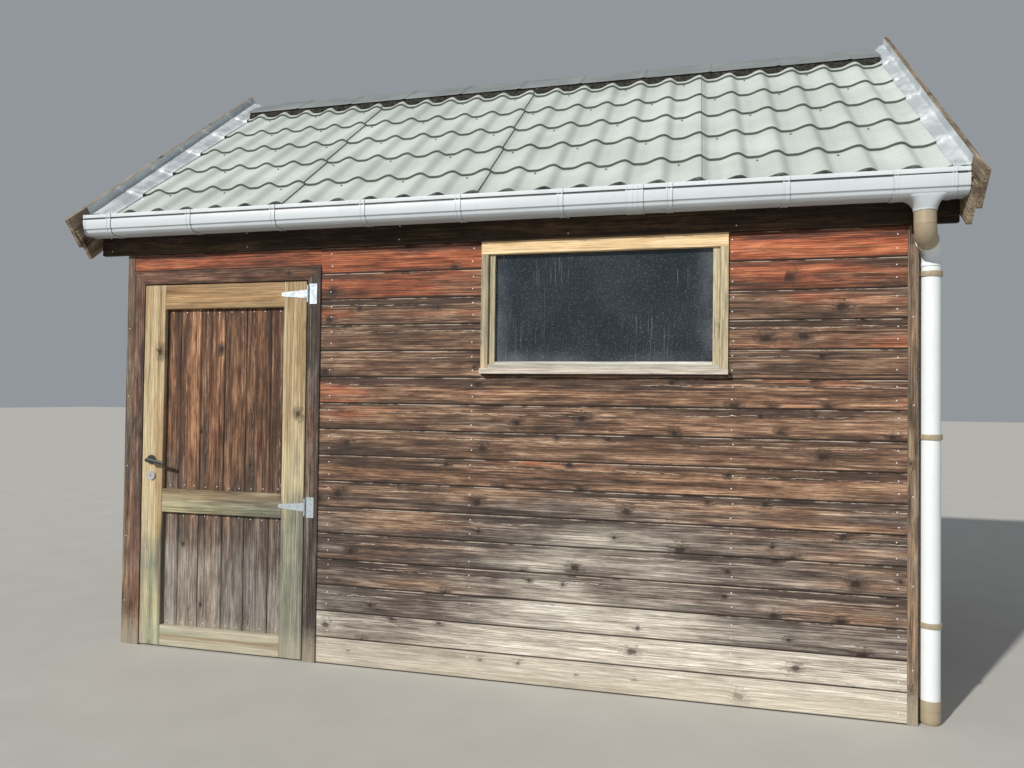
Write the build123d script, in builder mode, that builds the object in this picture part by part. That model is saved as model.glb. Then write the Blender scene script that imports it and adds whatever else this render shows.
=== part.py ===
"""Wooden garden shed: board-clad timber walls, a boarded door on T-hinges, one fixed window,
and a pitched roof of tile-shaped metal sheets with barge boards, gutters and downpipes.

Millimetres. X runs along the front to the right, Y into the shed, Z up.
The origin is on the ground, at the middle of the plan, under the ridge.
"""

from build123d import *
from math import ceil, cos, floor, hypot, radians, sin, tan
import os

os.makedirs("parts", exist_ok=True)

# Overall sizes
shed_width = 4190.0          # over the corner boards
shed_depth = 2966.0          # over the corner boards
board_cover = 140.0          # height that one cladding board shows
roof_pitch = 38.3            # degrees

# Walls
cladding_thickness = 20.0
corner_proud = 3.0           # corner boards stand this far out of the cladding
corner_face_width = 45.0     # corner board seen from the front
corner_side_width = 120.0    # corner board seen from the side
stud_width = 45.0
stud_depth = 70.0
stud_gap = 430.0             # widest clear bay between studs
frame_joint_gap = 0.3        # where a stud or a trimmer butts against another timber
cladding_rise = 160.0        # cladding carries on behind the fascia

# Door
leaf_width = 1028.0
leaf_height = 2052.0
leaf_bottom = 10.0
leaf_left_from_corner = 127.0
door_gap = 6.0
leaf_frame_thickness = 24.0
leaf_board_thickness = 18.0
stile_width = 135.0
top_rail_height = 138.0
middle_rail_height = 131.0
middle_rail_bottom = 767.0
bottom_rail_height = 116.0
rail_joint_gap = 0.3
leaf_edge_inset = 3.0        # the boards stop short of the edges of the stiles
trim_width = 76.0
trim_proud = 8.0             # door trim stands this far out of the cladding
stop_projection = 15.0
stop_thickness = 30.0
stop_gap = 5.5               # air between the closed leaf and its stops

# Door furniture
hinge_strap_length = 153.0
hinge_strap_root = 46.0
hinge_strap_tip = 22.0
hinge_strap_nose = 8.0       # rounded end beyond the straight edges
hinge_leaf_thickness = 3.0
hinge_plate_width = 46.0
hinge_plate_height = 110.0
hinge_knuckle_radius = 6.0
hinge_knuckle_gap = 0.5      # between the knuckle and the wood behind it
hinge_axis_from_gap = 4.0    # axis to the right of the opening's edge
hinge_strap_clear = 2.0      # between the strap's shoulder and the fixed knuckles
hinge_door_knuckle = 28.0
hinge_frame_knuckle = 32.0
hinge_knuckle_play = 1.0
handle_backset = 63.0
handle_height = 1062.0
lock_drop = 90.0
rosette_radius = 26.0
rosette_thickness = 8.0
spindle_radius = 6.0
spindle_play = 0.8
handle_neck_radius = 8.5
handle_neck_reach = 44.0
handle_play = 1.0            # between the neck of the handle and its rosette
lever_length = 125.0
lever_droop = 20.0           # of the tip below the spindle
lever_middle_droop = 5.0
lever_height = 18.0
lever_tip_height = 9.0
lever_thickness = 14.0
key_slot_width = 4.0
key_slot_height = 16.0

# Window
window_left = 50.0
window_width = 1222.0
window_height = 652.0        # sill to fascia
window_border_side = 38.0
window_border_top = 38.0
window_border_bottom = 21.0
sash_side = 33.0
sash_top = 28.0
sash_bottom = 15.0
window_proud = 12.0          # border stands this far out of the cladding
sash_recess = 14.0
sash_thickness = 42.0
window_depth = 95.0
glass_thickness = 4.0
glass_rebate = 8.0
glass_from_sash_face = 18.0
sill_thickness = 27.0
sill_projection = 42.0
sill_depth = 90.0

# Roof, measured from the line of the eaves edge over the crests of the tile waves
eaves_reach = 104.0          # eaves edge in front of the cladding
crest_over_wall = 310.0      # crest plane above the wall's top, over the face of the cladding
first_course = 340.0
course = 337.0
course_step = 15.0
sheet_height = 42.0          # crest of the waves over the purlins
sheet_setback = 45.0         # lower edge of the sheets from the eaves edge
sheet_end_gap = 12.0         # top edge of the sheets to the ridge line
purlin_width = 45.0
purlin_depth = 70.0
eaves_purlin_from_edge = 80.0
purlin_notch_gap = 1.0
purlin_clear = 60.0          # least gap between the top purlin and the next
ridge_purlin_gap = 10.0      # top purlin to the ridge line
barge_overhang = 203.0       # outer face of the barge boards beyond the corner boards
barge_thickness = 23.0
barge_width = 172.0
barge_above_crest = 45.0
barge_reach = 165.0          # barge boards run on below the eaves edge
inner_barge_drop = 30.0      # top of the inner barge board below the crest plane
inner_barge_width = 172.0
inner_barge_reach = 160.0
mitre_gap = 0.5
fascia_height = 200.0
fascia_thickness = 28.0
flashing_thickness = 2.0
flashing_width_left = 125.0
flashing_width_right = 65.0
flashing_lift = 0.3
flashing_below_top = 3.0
ridge_cap_reach = 275.0
ridge_cap_lift = 27.0        # foot of the cap above the crests
ridge_cap_pitch = 31.0       # slope of its legs, in degrees
ridge_cap_thickness = 2.0
ridge_cap_radius = 60.0
ridge_filler_inset = 8.0     # filler behind the foot of the cap
ridge_filler_depth = 22.0
ridge_filler_gap = 0.3       # under the cap and over the crests

# Gutter and downpipe
gutter_thickness = 3.0
gutter_depth = 150.0         # back to front
gutter_height = 113.0
gutter_lip_rise = 204.0      # lip above the wall's top
gutter_end_gap = 4.0
gutter_cap_fall = 44.0       # the end caps are lower at the back, under the tile sheets
gutter_lip_band = 19.0
gutter_groove_height = 10.0
gutter_groove_depth = 6.0
gutter_groove_taper = 1.0    # the groove narrows by this much at each edge
gutter_step_below_lip = 80.0
gutter_step_depth = 7.0
gutter_lean = 1.0            # the front leans in by this much down to the step
gutter_foot = 26.0
gutter_heel = 40.0
bracket_width = 32.0
bracket_thickness = 4.0
bracket_spacing = 513.0
bracket_from_end = 168.0     # middle of the first bracket from the gutter's left end
gutter_length = 3086.0       # one length of gutter, from the left end to the union
union_width = 82.0
outlet_width = 248.0
outlet_sleeve_shift = -19.0  # middle of the outlet's sleeve from the outlet axis
outlet_from_wall_end = -3.0  # outlet axis beyond the outer face of the corner board
funnel_width = 140.0
funnel_depth = 84.0
funnel_height = 51.0
pipe_radius = 44.5
pipe_from_wall = 60.0        # pipe axis out of the face of the corner board
pipe_behind_front = 50.0     # pipe axis behind the face of the cladding
bend_radius = 70.0
elbow_drop = 104.0           # outlet to the crossing run
crossing_fall = 22.0
collar_radius = 48.0
collar_height = 18.0
collar_below_bend = 75.0
shoe_height = 110.0
shoe_radius = 46.5
low_clip_height = 443.0
middle_clip_height = 1285.0
top_clip_drop = 218.0        # top clip below the wall's top
clip_height = 24.0
clip_radius = 51.0
clip_base_width = 40.0
clip_gap = 0.3               # between the clip and the pipe
crossing_joint = 0.5         # share of the crossing run that belongs to the upper elbow
notch_width = 37.0           # corner board cut back beside the elbow
notch_height = 120.0

# Places worked out from the sizes above
half_width = shed_width / 2
half_depth = shed_depth / 2
face_x = half_width - corner_proud          # face of the gable cladding
face_y = half_depth - corner_proud          # face of the front cladding, on the -Y side
frame_x = face_x - cladding_thickness
frame_y = face_y - cladding_thickness
room_x = frame_x - stud_depth
room_y = frame_y - stud_depth

leaf_left = -half_width + leaf_left_from_corner
leaf_right = leaf_left + leaf_width
leaf_top = leaf_bottom + leaf_height
opening_left = leaf_left - door_gap
opening_right = leaf_right + door_gap
opening_top = leaf_top + door_gap
trim_head_top = opening_top + trim_width
trim_face = -face_y - trim_proud
leaf_face = trim_face
leaf_board_face = leaf_face + leaf_frame_thickness
leaf_back = leaf_board_face + leaf_board_thickness
hinge_x = opening_right + hinge_axis_from_gap
hinge_y = leaf_face - hinge_knuckle_radius - hinge_knuckle_gap
hinge_heights = (middle_rail_bottom + middle_rail_height / 2, leaf_top - top_rail_height / 2)
handle_x = leaf_left + handle_backset

wall_height = board_cover * ceil(trim_head_top / board_cover)   # whole boards, past the door trim
cladding_top = wall_height + cladding_rise
window_sill_top = wall_height - window_height
window_right = window_left + window_width

pitch = radians(roof_pitch)
eaves_y = face_y + eaves_reach
eaves_z = wall_height + crest_over_wall - eaves_reach * tan(pitch)
barge_outer = half_width + barge_overhang
barge_middle = barge_outer - barge_thickness
barge_inner = barge_middle - barge_thickness
fascia_front = -face_y - fascia_thickness


def slope(along, above, gap=0.0):
    """Point (y, z) on the front slope: along it from the eaves edge, and above the crest plane."""
    y = -eaves_y + along * cos(pitch) - above * sin(pitch)
    z = eaves_z + along * sin(pitch) + above * cos(pitch)
    return (y - gap, z)


def to_ridge(above):
    """Distance along the slope at which a line that far above the crest plane meets the ridge."""
    return (eaves_y + above * sin(pitch)) / cos(pitch)


def finish(piece, label):
    """Label the piece and write it to its STEP file."""
    piece.part.label = label
    export_step(piece.part, f"parts/{label}.step")


def box(x_from, x_to, y_from, y_to, z_from, z_to):
    """Add a box between two values on each axis to the piece that is being built."""
    with BuildSketch(Plane.XY.offset(z_from)) as base:
        with Locations(((x_from + x_to) / 2, (y_from + y_to) / 2)):
            Rectangle(x_to - x_from, y_to - y_from)
    extrude(base.sketch, amount=z_to - z_from)


def prism(points, x_from, x_to, mode=Mode.ADD):
    """Add a flat outline in Y and Z, drawn out along X, to the piece that is being built."""
    with BuildSketch(Plane.YZ.offset(x_from)) as section:
        with BuildLine():
            Polyline(*points, close=True)
        make_face()
    extrude(section.sketch, amount=x_to - x_from, mode=mode)


def both_slopes(points):
    """The outline on the front slope and its mirror image on the back slope."""
    return (points, [(-y, z) for y, z in points])


def sloping_board(along_from, top, width, gap=mitre_gap):
    """Outline of a board on the front slope, square at its foot and cut plumb at the ridge."""
    bottom = top - width
    return [
        slope(along_from, top),
        slope(along_from, bottom),
        slope(to_ridge(bottom), bottom, gap),
        slope(to_ridge(top), top, gap),
    ]


# Cladding of the front wall, in four slabs beside and over the openings
corner_inner = half_width - corner_face_width
trim_left_outer = opening_left - trim_width
trim_right_outer = opening_right + trim_width
front_slabs = {
    "front_cladding_over_door": (-corner_inner, trim_right_outer, trim_head_top),
    "front_cladding_middle": (trim_right_outer, window_left, 0.0),
    "front_cladding_right": (window_right, corner_inner, 0.0),
}
for label, (x_from, x_to, z_from) in front_slabs.items():
    with BuildPart() as front_cladding:
        box(x_from, x_to, -face_y, -frame_y, z_from, cladding_top)
    finish(front_cladding, label)

with BuildPart() as front_cladding_under_window:
    sill_bottom = window_sill_top - sill_thickness
    box(window_left, window_right, -face_y, -frame_y, 0.0, sill_bottom)
finish(front_cladding_under_window, "front_cladding_under_window")

with BuildPart() as back_cladding:
    box(-corner_inner, corner_inner, frame_y, face_y, 0.0, cladding_top)
finish(back_cladding, "back_cladding")

# Steps of the tile sheets, as many as the slope has room for
sheet_end = to_ridge(-sheet_height) - sheet_end_gap
step_count = floor((sheet_end - first_course) / course) + 1
steps = [first_course + number * course for number in range(step_count)]

# Purlins: one behind the eaves edge, one under each step that clears the top one, and that one
top_purlin = to_ridge(-sheet_height - purlin_depth) - ridge_purlin_gap - purlin_width
last_below = top_purlin - purlin_clear - purlin_width
purlin_starts = [eaves_purlin_from_edge, *(step for step in steps if step <= last_below), top_purlin]


def purlin_outline(start, grow=0.0):
    """Section of a purlin on the front slope, enlarged on all sides for its notch."""
    top = -sheet_height + grow
    bottom = -sheet_height - purlin_depth - grow
    return [
        slope(start - grow, top),
        slope(start - grow, bottom),
        slope(start + purlin_width + grow, bottom),
        slope(start + purlin_width + grow, top),
    ]


with BuildPart() as purlins:
    for start in purlin_starts:
        for outline in both_slopes(purlin_outline(start)):
            prism(outline, -barge_inner, barge_inner)
finish(purlins, "purlins")

# Gable cladding, notched over the purlins, and the wall frames that carry them
side_leaf_end = half_depth - corner_side_width
under_sheets = -sheet_height - purlin_notch_gap
under_purlins = -sheet_height - purlin_depth


def height_at(y, above):
    """Height, over the plan distance y from the ridge, of a line above the crest plane."""
    return eaves_z + (eaves_y - abs(y)) * tan(pitch) + above / cos(pitch)


def gable_outline(y_end, above, z_from=0.0):
    """Wall outline between -y_end and y_end, under the slopes of the roof."""
    return [
        (-y_end, z_from),
        (y_end, z_from),
        (y_end, height_at(y_end, above)),
        (0.0, height_at(0.0, above)),
        (-y_end, height_at(y_end, above)),
    ]


for label, x_from in (("left_gable_cladding", -face_x), ("right_gable_cladding", frame_x)):
    with BuildPart() as gable_cladding:
        prism(gable_outline(side_leaf_end, under_sheets), x_from, x_from + cladding_thickness)
        for start in purlin_starts:
            for outline in both_slopes(purlin_outline(start, purlin_notch_gap)):
                prism(outline, x_from, x_from + cladding_thickness, Mode.SUBTRACT)
    finish(gable_cladding, label)


def stud_places(start, end):
    """Left edges of the studs that share a wall between start and end, its end studs included."""
    bays = max(1, round((end - start - stud_width) / (stud_gap + stud_width) + 0.5))
    pitch_of_studs = (end - start - stud_width) / bays
    return [start + number * pitch_of_studs for number in range(bays + 1)]


above_sole = stud_width + frame_joint_gap
under_chord = under_purlins - (stud_width + frame_joint_gap) / cos(pitch)
for label, x_from in (("left_wall_frame", -frame_x), ("right_wall_frame", room_x)):
    with BuildPart() as gable_frame:
        box(x_from, x_from + stud_depth, -room_y, room_y, 0.0, stud_width)
        for start in stud_places(-room_y, room_y):
            end = start + stud_width
            stud = [(start, above_sole), (end, above_sole), (end, height_at(end, under_chord))]
            if start < 0.0 < end:
                stud.append((0.0, height_at(0.0, under_chord)))
            stud.append((start, height_at(start, under_chord)))
            prism(stud, x_from, x_from + stud_depth)
        chord = [
            (-room_y, height_at(room_y, under_purlins)),
            (-mitre_gap, height_at(mitre_gap, under_purlins)),
            (-mitre_gap, height_at(mitre_gap, under_purlins) - stud_width / cos(pitch)),
            (-room_y, height_at(room_y, under_purlins) - stud_width / cos(pitch)),
        ]
        for outline in both_slopes(chord):
            prism(outline, x_from, x_from + stud_depth)
    finish(gable_frame, label)

# Back and front wall frames, under a beam that is bevelled for the eaves purlin
top_plate_bottom = wall_height - stud_width
with BuildPart() as back_wall_frame:
    box(-frame_x, frame_x, room_y, frame_y, 0.0, stud_width)
    box(-frame_x, frame_x, room_y, frame_y, top_plate_bottom, wall_height)
    for start in stud_places(-frame_x, frame_x):
        end = start + stud_width
        box(start, end, room_y, frame_y, above_sole, top_plate_bottom - frame_joint_gap)
finish(back_wall_frame, "back_wall_frame")

with BuildPart() as front_wall_frame:
    box(opening_right, frame_x, -frame_y, -room_y, 0.0, stud_width)
    for run in ((opening_right, window_left), (window_right, frame_x)):
        box(*run, -frame_y, -room_y, top_plate_bottom, wall_height)
        for start in stud_places(*run):
            end = start + stud_width
            box(start, end, -frame_y, -room_y, above_sole, top_plate_bottom - frame_joint_gap)
    trimmer_bottom = sill_bottom - stud_width
    trimmer_ends = (window_left + frame_joint_gap, window_right - frame_joint_gap)
    box(*trimmer_ends, -frame_y, -room_y, trimmer_bottom, sill_bottom)
    for start in stud_places(window_left, window_right)[1:-1]:
        end = start + stud_width
        box(start, end, -frame_y, -room_y, above_sole, trimmer_bottom - frame_joint_gap)
finish(front_wall_frame, "front_wall_frame")

with BuildPart() as door_post:
    box(-frame_x, opening_left, -frame_y, -room_y, 0.0, wall_height)
finish(door_post, "door_post")

with BuildPart() as door_head:
    box(opening_left, opening_right, -frame_y, -room_y, opening_top, wall_height)
finish(door_head, "door_head")

beam_outline = [
    (-frame_y, wall_height),
    (-room_y, wall_height),
    (-room_y, height_at(room_y, under_purlins)),
    (-frame_y, height_at(frame_y, under_purlins)),
]
with BuildPart() as wall_beams:
    for outline in both_slopes(beam_outline):
        prism(outline, -frame_x, frame_x)
finish(wall_beams, "wall_beams")

# Corner boards: a narrow face on the front or back and a wide one on the gable
def corner_board(x_side, y_side):
    """One L-shaped corner, as two boards that meet at the edge."""
    front_x = sorted((x_side * half_width, x_side * corner_inner))
    front_y = sorted((y_side * half_depth, y_side * frame_y))
    box(*front_x, *front_y, 0.0, wall_height)
    side_outline = [
        (y_side * frame_y, 0.0),
        (y_side * side_leaf_end, 0.0),
        (y_side * side_leaf_end, height_at(side_leaf_end, under_purlins)),
        (y_side * frame_y, height_at(frame_y, under_purlins)),
    ]
    prism(side_outline, *sorted((x_side * half_width, x_side * frame_x)))


for label, x_side in (("corner_boards_left", -1), ("corner_boards_right", 1)):
    with BuildPart() as corner_boards:
        for y_side in (-1, 1):
            corner_board(x_side, y_side)
            if x_side > 0:
                # Cut back beside the elbow of the downpipe, with a rounded foot to the cut
                with BuildSketch(Plane.XZ.offset(frame_y if y_side < 0 else -half_depth)):
                    with BuildLine():
                        notch_left = half_width - notch_width
                        notch_foot = wall_height - notch_height
                        Polyline(
                            (notch_left, notch_foot + notch_width),
                            (notch_left, wall_height),
                            (half_width, wall_height),
                            (half_width, notch_foot),
                        )
                        RadiusArc(
                            (half_width, notch_foot),
                            (notch_left, notch_foot + notch_width),
                            -notch_width,
                        )
                    make_face()
                extrude(amount=half_depth - frame_y, mode=Mode.SUBTRACT)
    finish(corner_boards, label)

# Fascia boards along both eaves, between the barge boards
with BuildPart() as fascia_boards:
    fascia_outline = [
        (fascia_front, wall_height),
        (-face_y, wall_height),
        (-face_y, wall_height + fascia_height),
        (fascia_front, wall_height + fascia_height),
    ]
    for outline in both_slopes(fascia_outline):
        prism(outline, -barge_inner, barge_inner)
finish(fascia_boards, "fascia_boards")

# Door trim, mitred at its head, with the stops that the leaf closes against
stop_front = leaf_back + stop_gap
stop_back = stop_front + stop_thickness


def trim_face_board(points):
    """A flat board of the door trim from its outline in X and Z."""
    with BuildSketch(Plane.XZ.offset(-trim_face)) as board:
        with BuildLine():
            Polyline(*points, close=True)
        make_face()
    extrude(board.sketch, amount=trim_face + frame_y)


with BuildPart() as door_trim_left:
    trim_face_board([
        (trim_left_outer, 0.0),
        (opening_left, 0.0),
        (opening_left, opening_top),
        (trim_left_outer, trim_head_top),
    ])
    box(opening_left, opening_left + stop_projection, stop_front, stop_back, 0.0, opening_top)
finish(door_trim_left, "door_trim_left")

with BuildPart() as door_trim_right:
    trim_face_board([
        (opening_right, 0.0),
        (trim_right_outer, 0.0),
        (trim_right_outer, trim_head_top),
        (opening_right, opening_top),
    ])
    box(opening_right - stop_projection, opening_right, stop_front, stop_back, 0.0, opening_top)
finish(door_trim_right, "door_trim_right")

with BuildPart() as door_trim_head:
    trim_face_board([
        (opening_left, opening_top),
        (opening_right, opening_top),
        (trim_right_outer, trim_head_top),
        (trim_left_outer, trim_head_top),
    ])
    head_stop_left = opening_left + stop_projection
    head_stop_right = opening_right - stop_projection
    head_stop_bottom = opening_top - stop_projection
    box(head_stop_left, head_stop_right, stop_front, stop_back, head_stop_bottom, opening_top)
finish(door_trim_head, "door_trim_head")

# Door leaf: stiles and rails in front, boards behind, bored through for the handle's spindle
inner_left = leaf_left + stile_width
inner_right = leaf_right - stile_width

with BuildPart() as door_stiles:
    box(leaf_left, inner_left, leaf_face, leaf_board_face, leaf_bottom, leaf_top)
    box(inner_right, leaf_right, leaf_face, leaf_board_face, leaf_bottom, leaf_top)
    with Locations(Plane.XZ.offset(-leaf_board_face)):
        with Locations((handle_x, handle_height)):
            Cylinder(
                spindle_radius + spindle_play,
                leaf_frame_thickness,
                align=(Align.CENTER, Align.CENTER, Align.MIN),
                mode=Mode.SUBTRACT,
            )
finish(door_stiles, "door_stiles")

with BuildPart() as door_rails:
    rail_ends = (inner_left + rail_joint_gap, inner_right - rail_joint_gap)
    rails = (
        (leaf_bottom, bottom_rail_height),
        (middle_rail_bottom, middle_rail_height),
        (leaf_top - top_rail_height, top_rail_height),
    )
    for rail_bottom, rail_height in rails:
        box(*rail_ends, leaf_face, leaf_board_face, rail_bottom, rail_bottom + rail_height)
finish(door_rails, "door_rails")

with BuildPart() as door_boards:
    box(
        leaf_left + leaf_edge_inset,
        leaf_right - leaf_edge_inset,
        leaf_board_face,
        leaf_back,
        leaf_bottom + leaf_edge_inset,
        leaf_top - leaf_edge_inset,
    )
    with Locations(Plane.XZ.offset(-leaf_back)):
        with Locations((handle_x, handle_height)):
            Cylinder(
                spindle_radius + spindle_play,
                leaf_board_thickness,
                align=(Align.CENTER, Align.CENTER, Align.MIN),
                mode=Mode.SUBTRACT,
            )
finish(door_boards, "door_boards")

# T-hinges: a tapered strap on the leaf and an upright plate on the trim, knuckle to knuckle
strap_face = leaf_face - hinge_leaf_thickness
strap_shoulder = hinge_x - hinge_knuckle_radius - hinge_strap_clear


def knuckle(z_from, height):
    """One length of hinge barrel about the hinge axis."""
    with BuildSketch(Plane.XY.offset(z_from)) as barrel:
        with Locations((hinge_x, hinge_y)):
            Circle(hinge_knuckle_radius)
    extrude(barrel.sketch, amount=height)


with BuildPart() as hinge_straps:
    for z in hinge_heights:
        with BuildSketch(Plane.XZ.offset(-leaf_face)):
            with BuildLine():
                strap_end = hinge_x - hinge_strap_length
                Polyline(
                    (strap_shoulder, z - hinge_strap_root / 2),
                    (strap_shoulder, z + hinge_strap_root / 2),
                    (strap_end, z + hinge_strap_tip / 2),
                )
                ThreePointArc(
                    (strap_end, z + hinge_strap_tip / 2),
                    (strap_end - hinge_strap_nose, z),
                    (strap_end, z - hinge_strap_tip / 2),
                )
                Line((strap_end, z - hinge_strap_tip / 2), (strap_shoulder, z - hinge_strap_root / 2))
            make_face()
        extrude(amount=hinge_leaf_thickness)
        tongue = hinge_door_knuckle / 2
        box(strap_shoulder, hinge_x, strap_face, leaf_face - hinge_knuckle_gap, z - tongue, z + tongue)
        knuckle(z - tongue, hinge_door_knuckle)
finish(hinge_straps, "hinge_straps")

with BuildPart() as hinge_plates:
    plate_left = hinge_x + hinge_knuckle_radius
    plate_right = plate_left + hinge_plate_width
    for z in hinge_heights:
        plate_bottom = z - hinge_plate_height / 2
        plate_top = z + hinge_plate_height / 2
        box(plate_left, plate_right, strap_face, leaf_face, plate_bottom, plate_top)
        start = hinge_door_knuckle / 2 + hinge_knuckle_play
        for low in (z - start - hinge_frame_knuckle, z + start):
            high = low + hinge_frame_knuckle
            box(hinge_x, plate_left, strap_face, leaf_face - hinge_knuckle_gap, low, high)
            knuckle(low, hinge_frame_knuckle)
finish(hinge_plates, "hinge_plates")

# Rosettes of the handle and round lock plates, on both faces of the leaf
with BuildPart() as lock_plates:
    for plane in (Plane.XZ.offset(-leaf_face), Plane.XZ.offset(-leaf_back - rosette_thickness)):
        with BuildSketch(plane):
            with Locations((handle_x, handle_height)):
                Circle(rosette_radius)
                Circle(spindle_radius + spindle_play, mode=Mode.SUBTRACT)
            with Locations((handle_x, handle_height - lock_drop)):
                Circle(rosette_radius)
                Rectangle(key_slot_width, key_slot_height, mode=Mode.SUBTRACT)
        extrude(amount=rosette_thickness)
finish(lock_plates, "lock_plates")

# Lever handles on both faces, on one spindle through the leaf
with BuildPart() as door_handle:
    outer_end = leaf_face - rosette_thickness - handle_play - handle_neck_reach
    inner_end = leaf_back + rosette_thickness + handle_play + handle_neck_reach
    with BuildSketch(Plane.XZ.offset(-inner_end)):
        with Locations((handle_x, handle_height)):
            Circle(spindle_radius)
    extrude(amount=inner_end - outer_end)
    neck_starts = (leaf_face - rosette_thickness - handle_play, inner_end)
    for y in neck_starts:
        with BuildSketch(Plane.XZ.offset(-y)):
            with Locations((handle_x, handle_height)):
                Circle(handle_neck_radius)
        extrude(amount=handle_neck_reach)
    for y in (outer_end + lever_thickness, inner_end):
        with BuildSketch(Plane.XZ.offset(-y)):
            with BuildLine():
                lever_tip = handle_x + lever_length
                lever_root = handle_x - handle_neck_radius
                lever_middle = handle_x + lever_length / 2
                middle_height = handle_height - lever_middle_droop
                tip_height = handle_height - lever_droop
                half = lever_height / 2
                half_tip = lever_tip_height / 2
                Spline(
                    (lever_root, handle_height + half),
                    (lever_middle, middle_height + half),
                    (lever_tip, tip_height + half_tip),
                )
                Line((lever_tip, tip_height + half_tip), (lever_tip, tip_height - half_tip))
                Spline(
                    (lever_tip, tip_height - half_tip),
                    (lever_middle, middle_height - half),
                    (lever_root, handle_height - half),
                )
                Line((lever_root, handle_height - half), (lever_root, handle_height + half))
            make_face()
        extrude(amount=lever_thickness)
finish(door_handle, "door_handle")

# Fixed window: a border with a sash inside it, a pane, and a sill that sheds the rain
border_face = -face_y - window_proud
sash_face = border_face + sash_recess
border_inner_left = window_left + window_border_side
border_inner_right = window_right - window_border_side
border_inner_bottom = window_sill_top + window_border_bottom
border_inner_top = wall_height - window_border_top
glass_left = border_inner_left + sash_side
glass_right = border_inner_right - sash_side
glass_bottom = border_inner_bottom + sash_bottom
glass_top = border_inner_top - sash_top


def ring(outer, inner, y_front, depth):
    """A rectangular frame in X and Z, from outer and inner (left, right, bottom, top)."""
    with BuildSketch(Plane.XZ.offset(-y_front)) as outline:
        for (left, right, bottom, top), mode in ((outer, Mode.ADD), (inner, Mode.SUBTRACT)):
            with Locations(((left + right) / 2, (bottom + top) / 2)):
                Rectangle(right - left, top - bottom, mode=mode)
    extrude(outline.sketch, amount=-depth)


border_outer_line = (window_left, window_right, window_sill_top, wall_height)
border_inner_line = (border_inner_left, border_inner_right, border_inner_bottom, border_inner_top)
glass_line = (glass_left, glass_right, glass_bottom, glass_top)
pane_front = sash_face + glass_from_sash_face
with BuildPart() as window_frame:
    ring(border_outer_line, border_inner_line, border_face, window_depth)
    ring(border_inner_line, glass_line, sash_face, sash_thickness)
    with BuildSketch(Plane.XZ.offset(-pane_front)):
        with Locations(((glass_left + glass_right) / 2, (glass_bottom + glass_top) / 2)):
            Rectangle(
                glass_right - glass_left + 2 * glass_rebate,
                glass_top - glass_bottom + 2 * glass_rebate,
            )
    extrude(amount=-glass_thickness, mode=Mode.SUBTRACT)
finish(window_frame, "window_frame")

with BuildPart() as window_glass:
    box(
        glass_left - glass_rebate,
        glass_right + glass_rebate,
        pane_front,
        pane_front + glass_thickness,
        glass_bottom - glass_rebate,
        glass_top + glass_rebate,
    )
finish(window_glass, "window_glass")

with BuildPart() as window_sill:
    sill_front = -face_y - sill_projection
    box(window_left, window_right, sill_front, sill_front + sill_depth, sill_bottom, window_sill_top)
finish(window_sill, "window_sill")

# Barge boards: an inner and an outer layer on each gable, mitred at the ridge
barge_layers = {
    "outer_barge_left": (-barge_outer, barge_reach, barge_above_crest, barge_width),
    "outer_barge_right": (barge_middle, barge_reach, barge_above_crest, barge_width),
    "inner_barge_left": (-barge_middle, inner_barge_reach, -inner_barge_drop, inner_barge_width),
    "inner_barge_right": (barge_inner, inner_barge_reach, -inner_barge_drop, inner_barge_width),
}
for label, (x_from, reach, top, width) in barge_layers.items():
    with BuildPart() as barge:
        for outline in both_slopes(sloping_board(-reach, top, width)):
            prism(outline, x_from, x_from + barge_thickness)
    finish(barge, label)

# Tile sheets: each course is a little higher at its lower edge than the one below it
sheet_outline = [
    slope(sheet_end, -sheet_height),
    slope(sheet_setback, -sheet_height),
    slope(sheet_setback, 0.0),
]
for start in steps:
    sheet_outline.append(slope(start, -course_step))
    sheet_outline.append(slope(start, 0.0))
sheet_outline.append(slope(sheet_end, -course_step))

sheet_labels = ("roof_sheets_front", "roof_sheets_back")
for label, outline in zip(sheet_labels, both_slopes(sheet_outline)):
    with BuildPart() as roof_sheets:
        prism(outline, -barge_inner, barge_inner)
    finish(roof_sheets, label)

# Folded flashing along each gable: it lies on the sheets and turns up behind the barge board
flashing_runs = {
    "verge_flashing_left": (-barge_middle, -barge_middle + flashing_width_left),
    "verge_flashing_right": (barge_middle - flashing_width_right, barge_middle),
}
flashing_top = flashing_lift + flashing_thickness
upstand_height = barge_above_crest - flashing_below_top - flashing_lift
for label, (x_from, x_to) in flashing_runs.items():
    with BuildPart() as verge_flashing:
        upstand_from = x_from if x_from < 0 else x_to - flashing_thickness
        for outline in both_slopes(sloping_board(0.0, flashing_top, flashing_thickness)):
            prism(outline, x_from, x_to)
        for outline in both_slopes(sloping_board(0.0, flashing_top + upstand_height, upstand_height)):
            prism(outline, upstand_from, upstand_from + flashing_thickness)
    finish(verge_flashing, label)

# Ridge cap: one folded strip with a rounded top, raised on a filler over the crests on each slope
cap_foot = to_ridge(0.0) - ridge_cap_reach
cap_pitch = radians(ridge_cap_pitch)
foot_y, foot_z = slope(cap_foot, ridge_cap_lift)


def under_cap(y):
    """Height of the underside of the cap's legs, over the plan distance y from the ridge."""
    return foot_z + (abs(foot_y) - abs(y)) * tan(cap_pitch)


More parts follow.
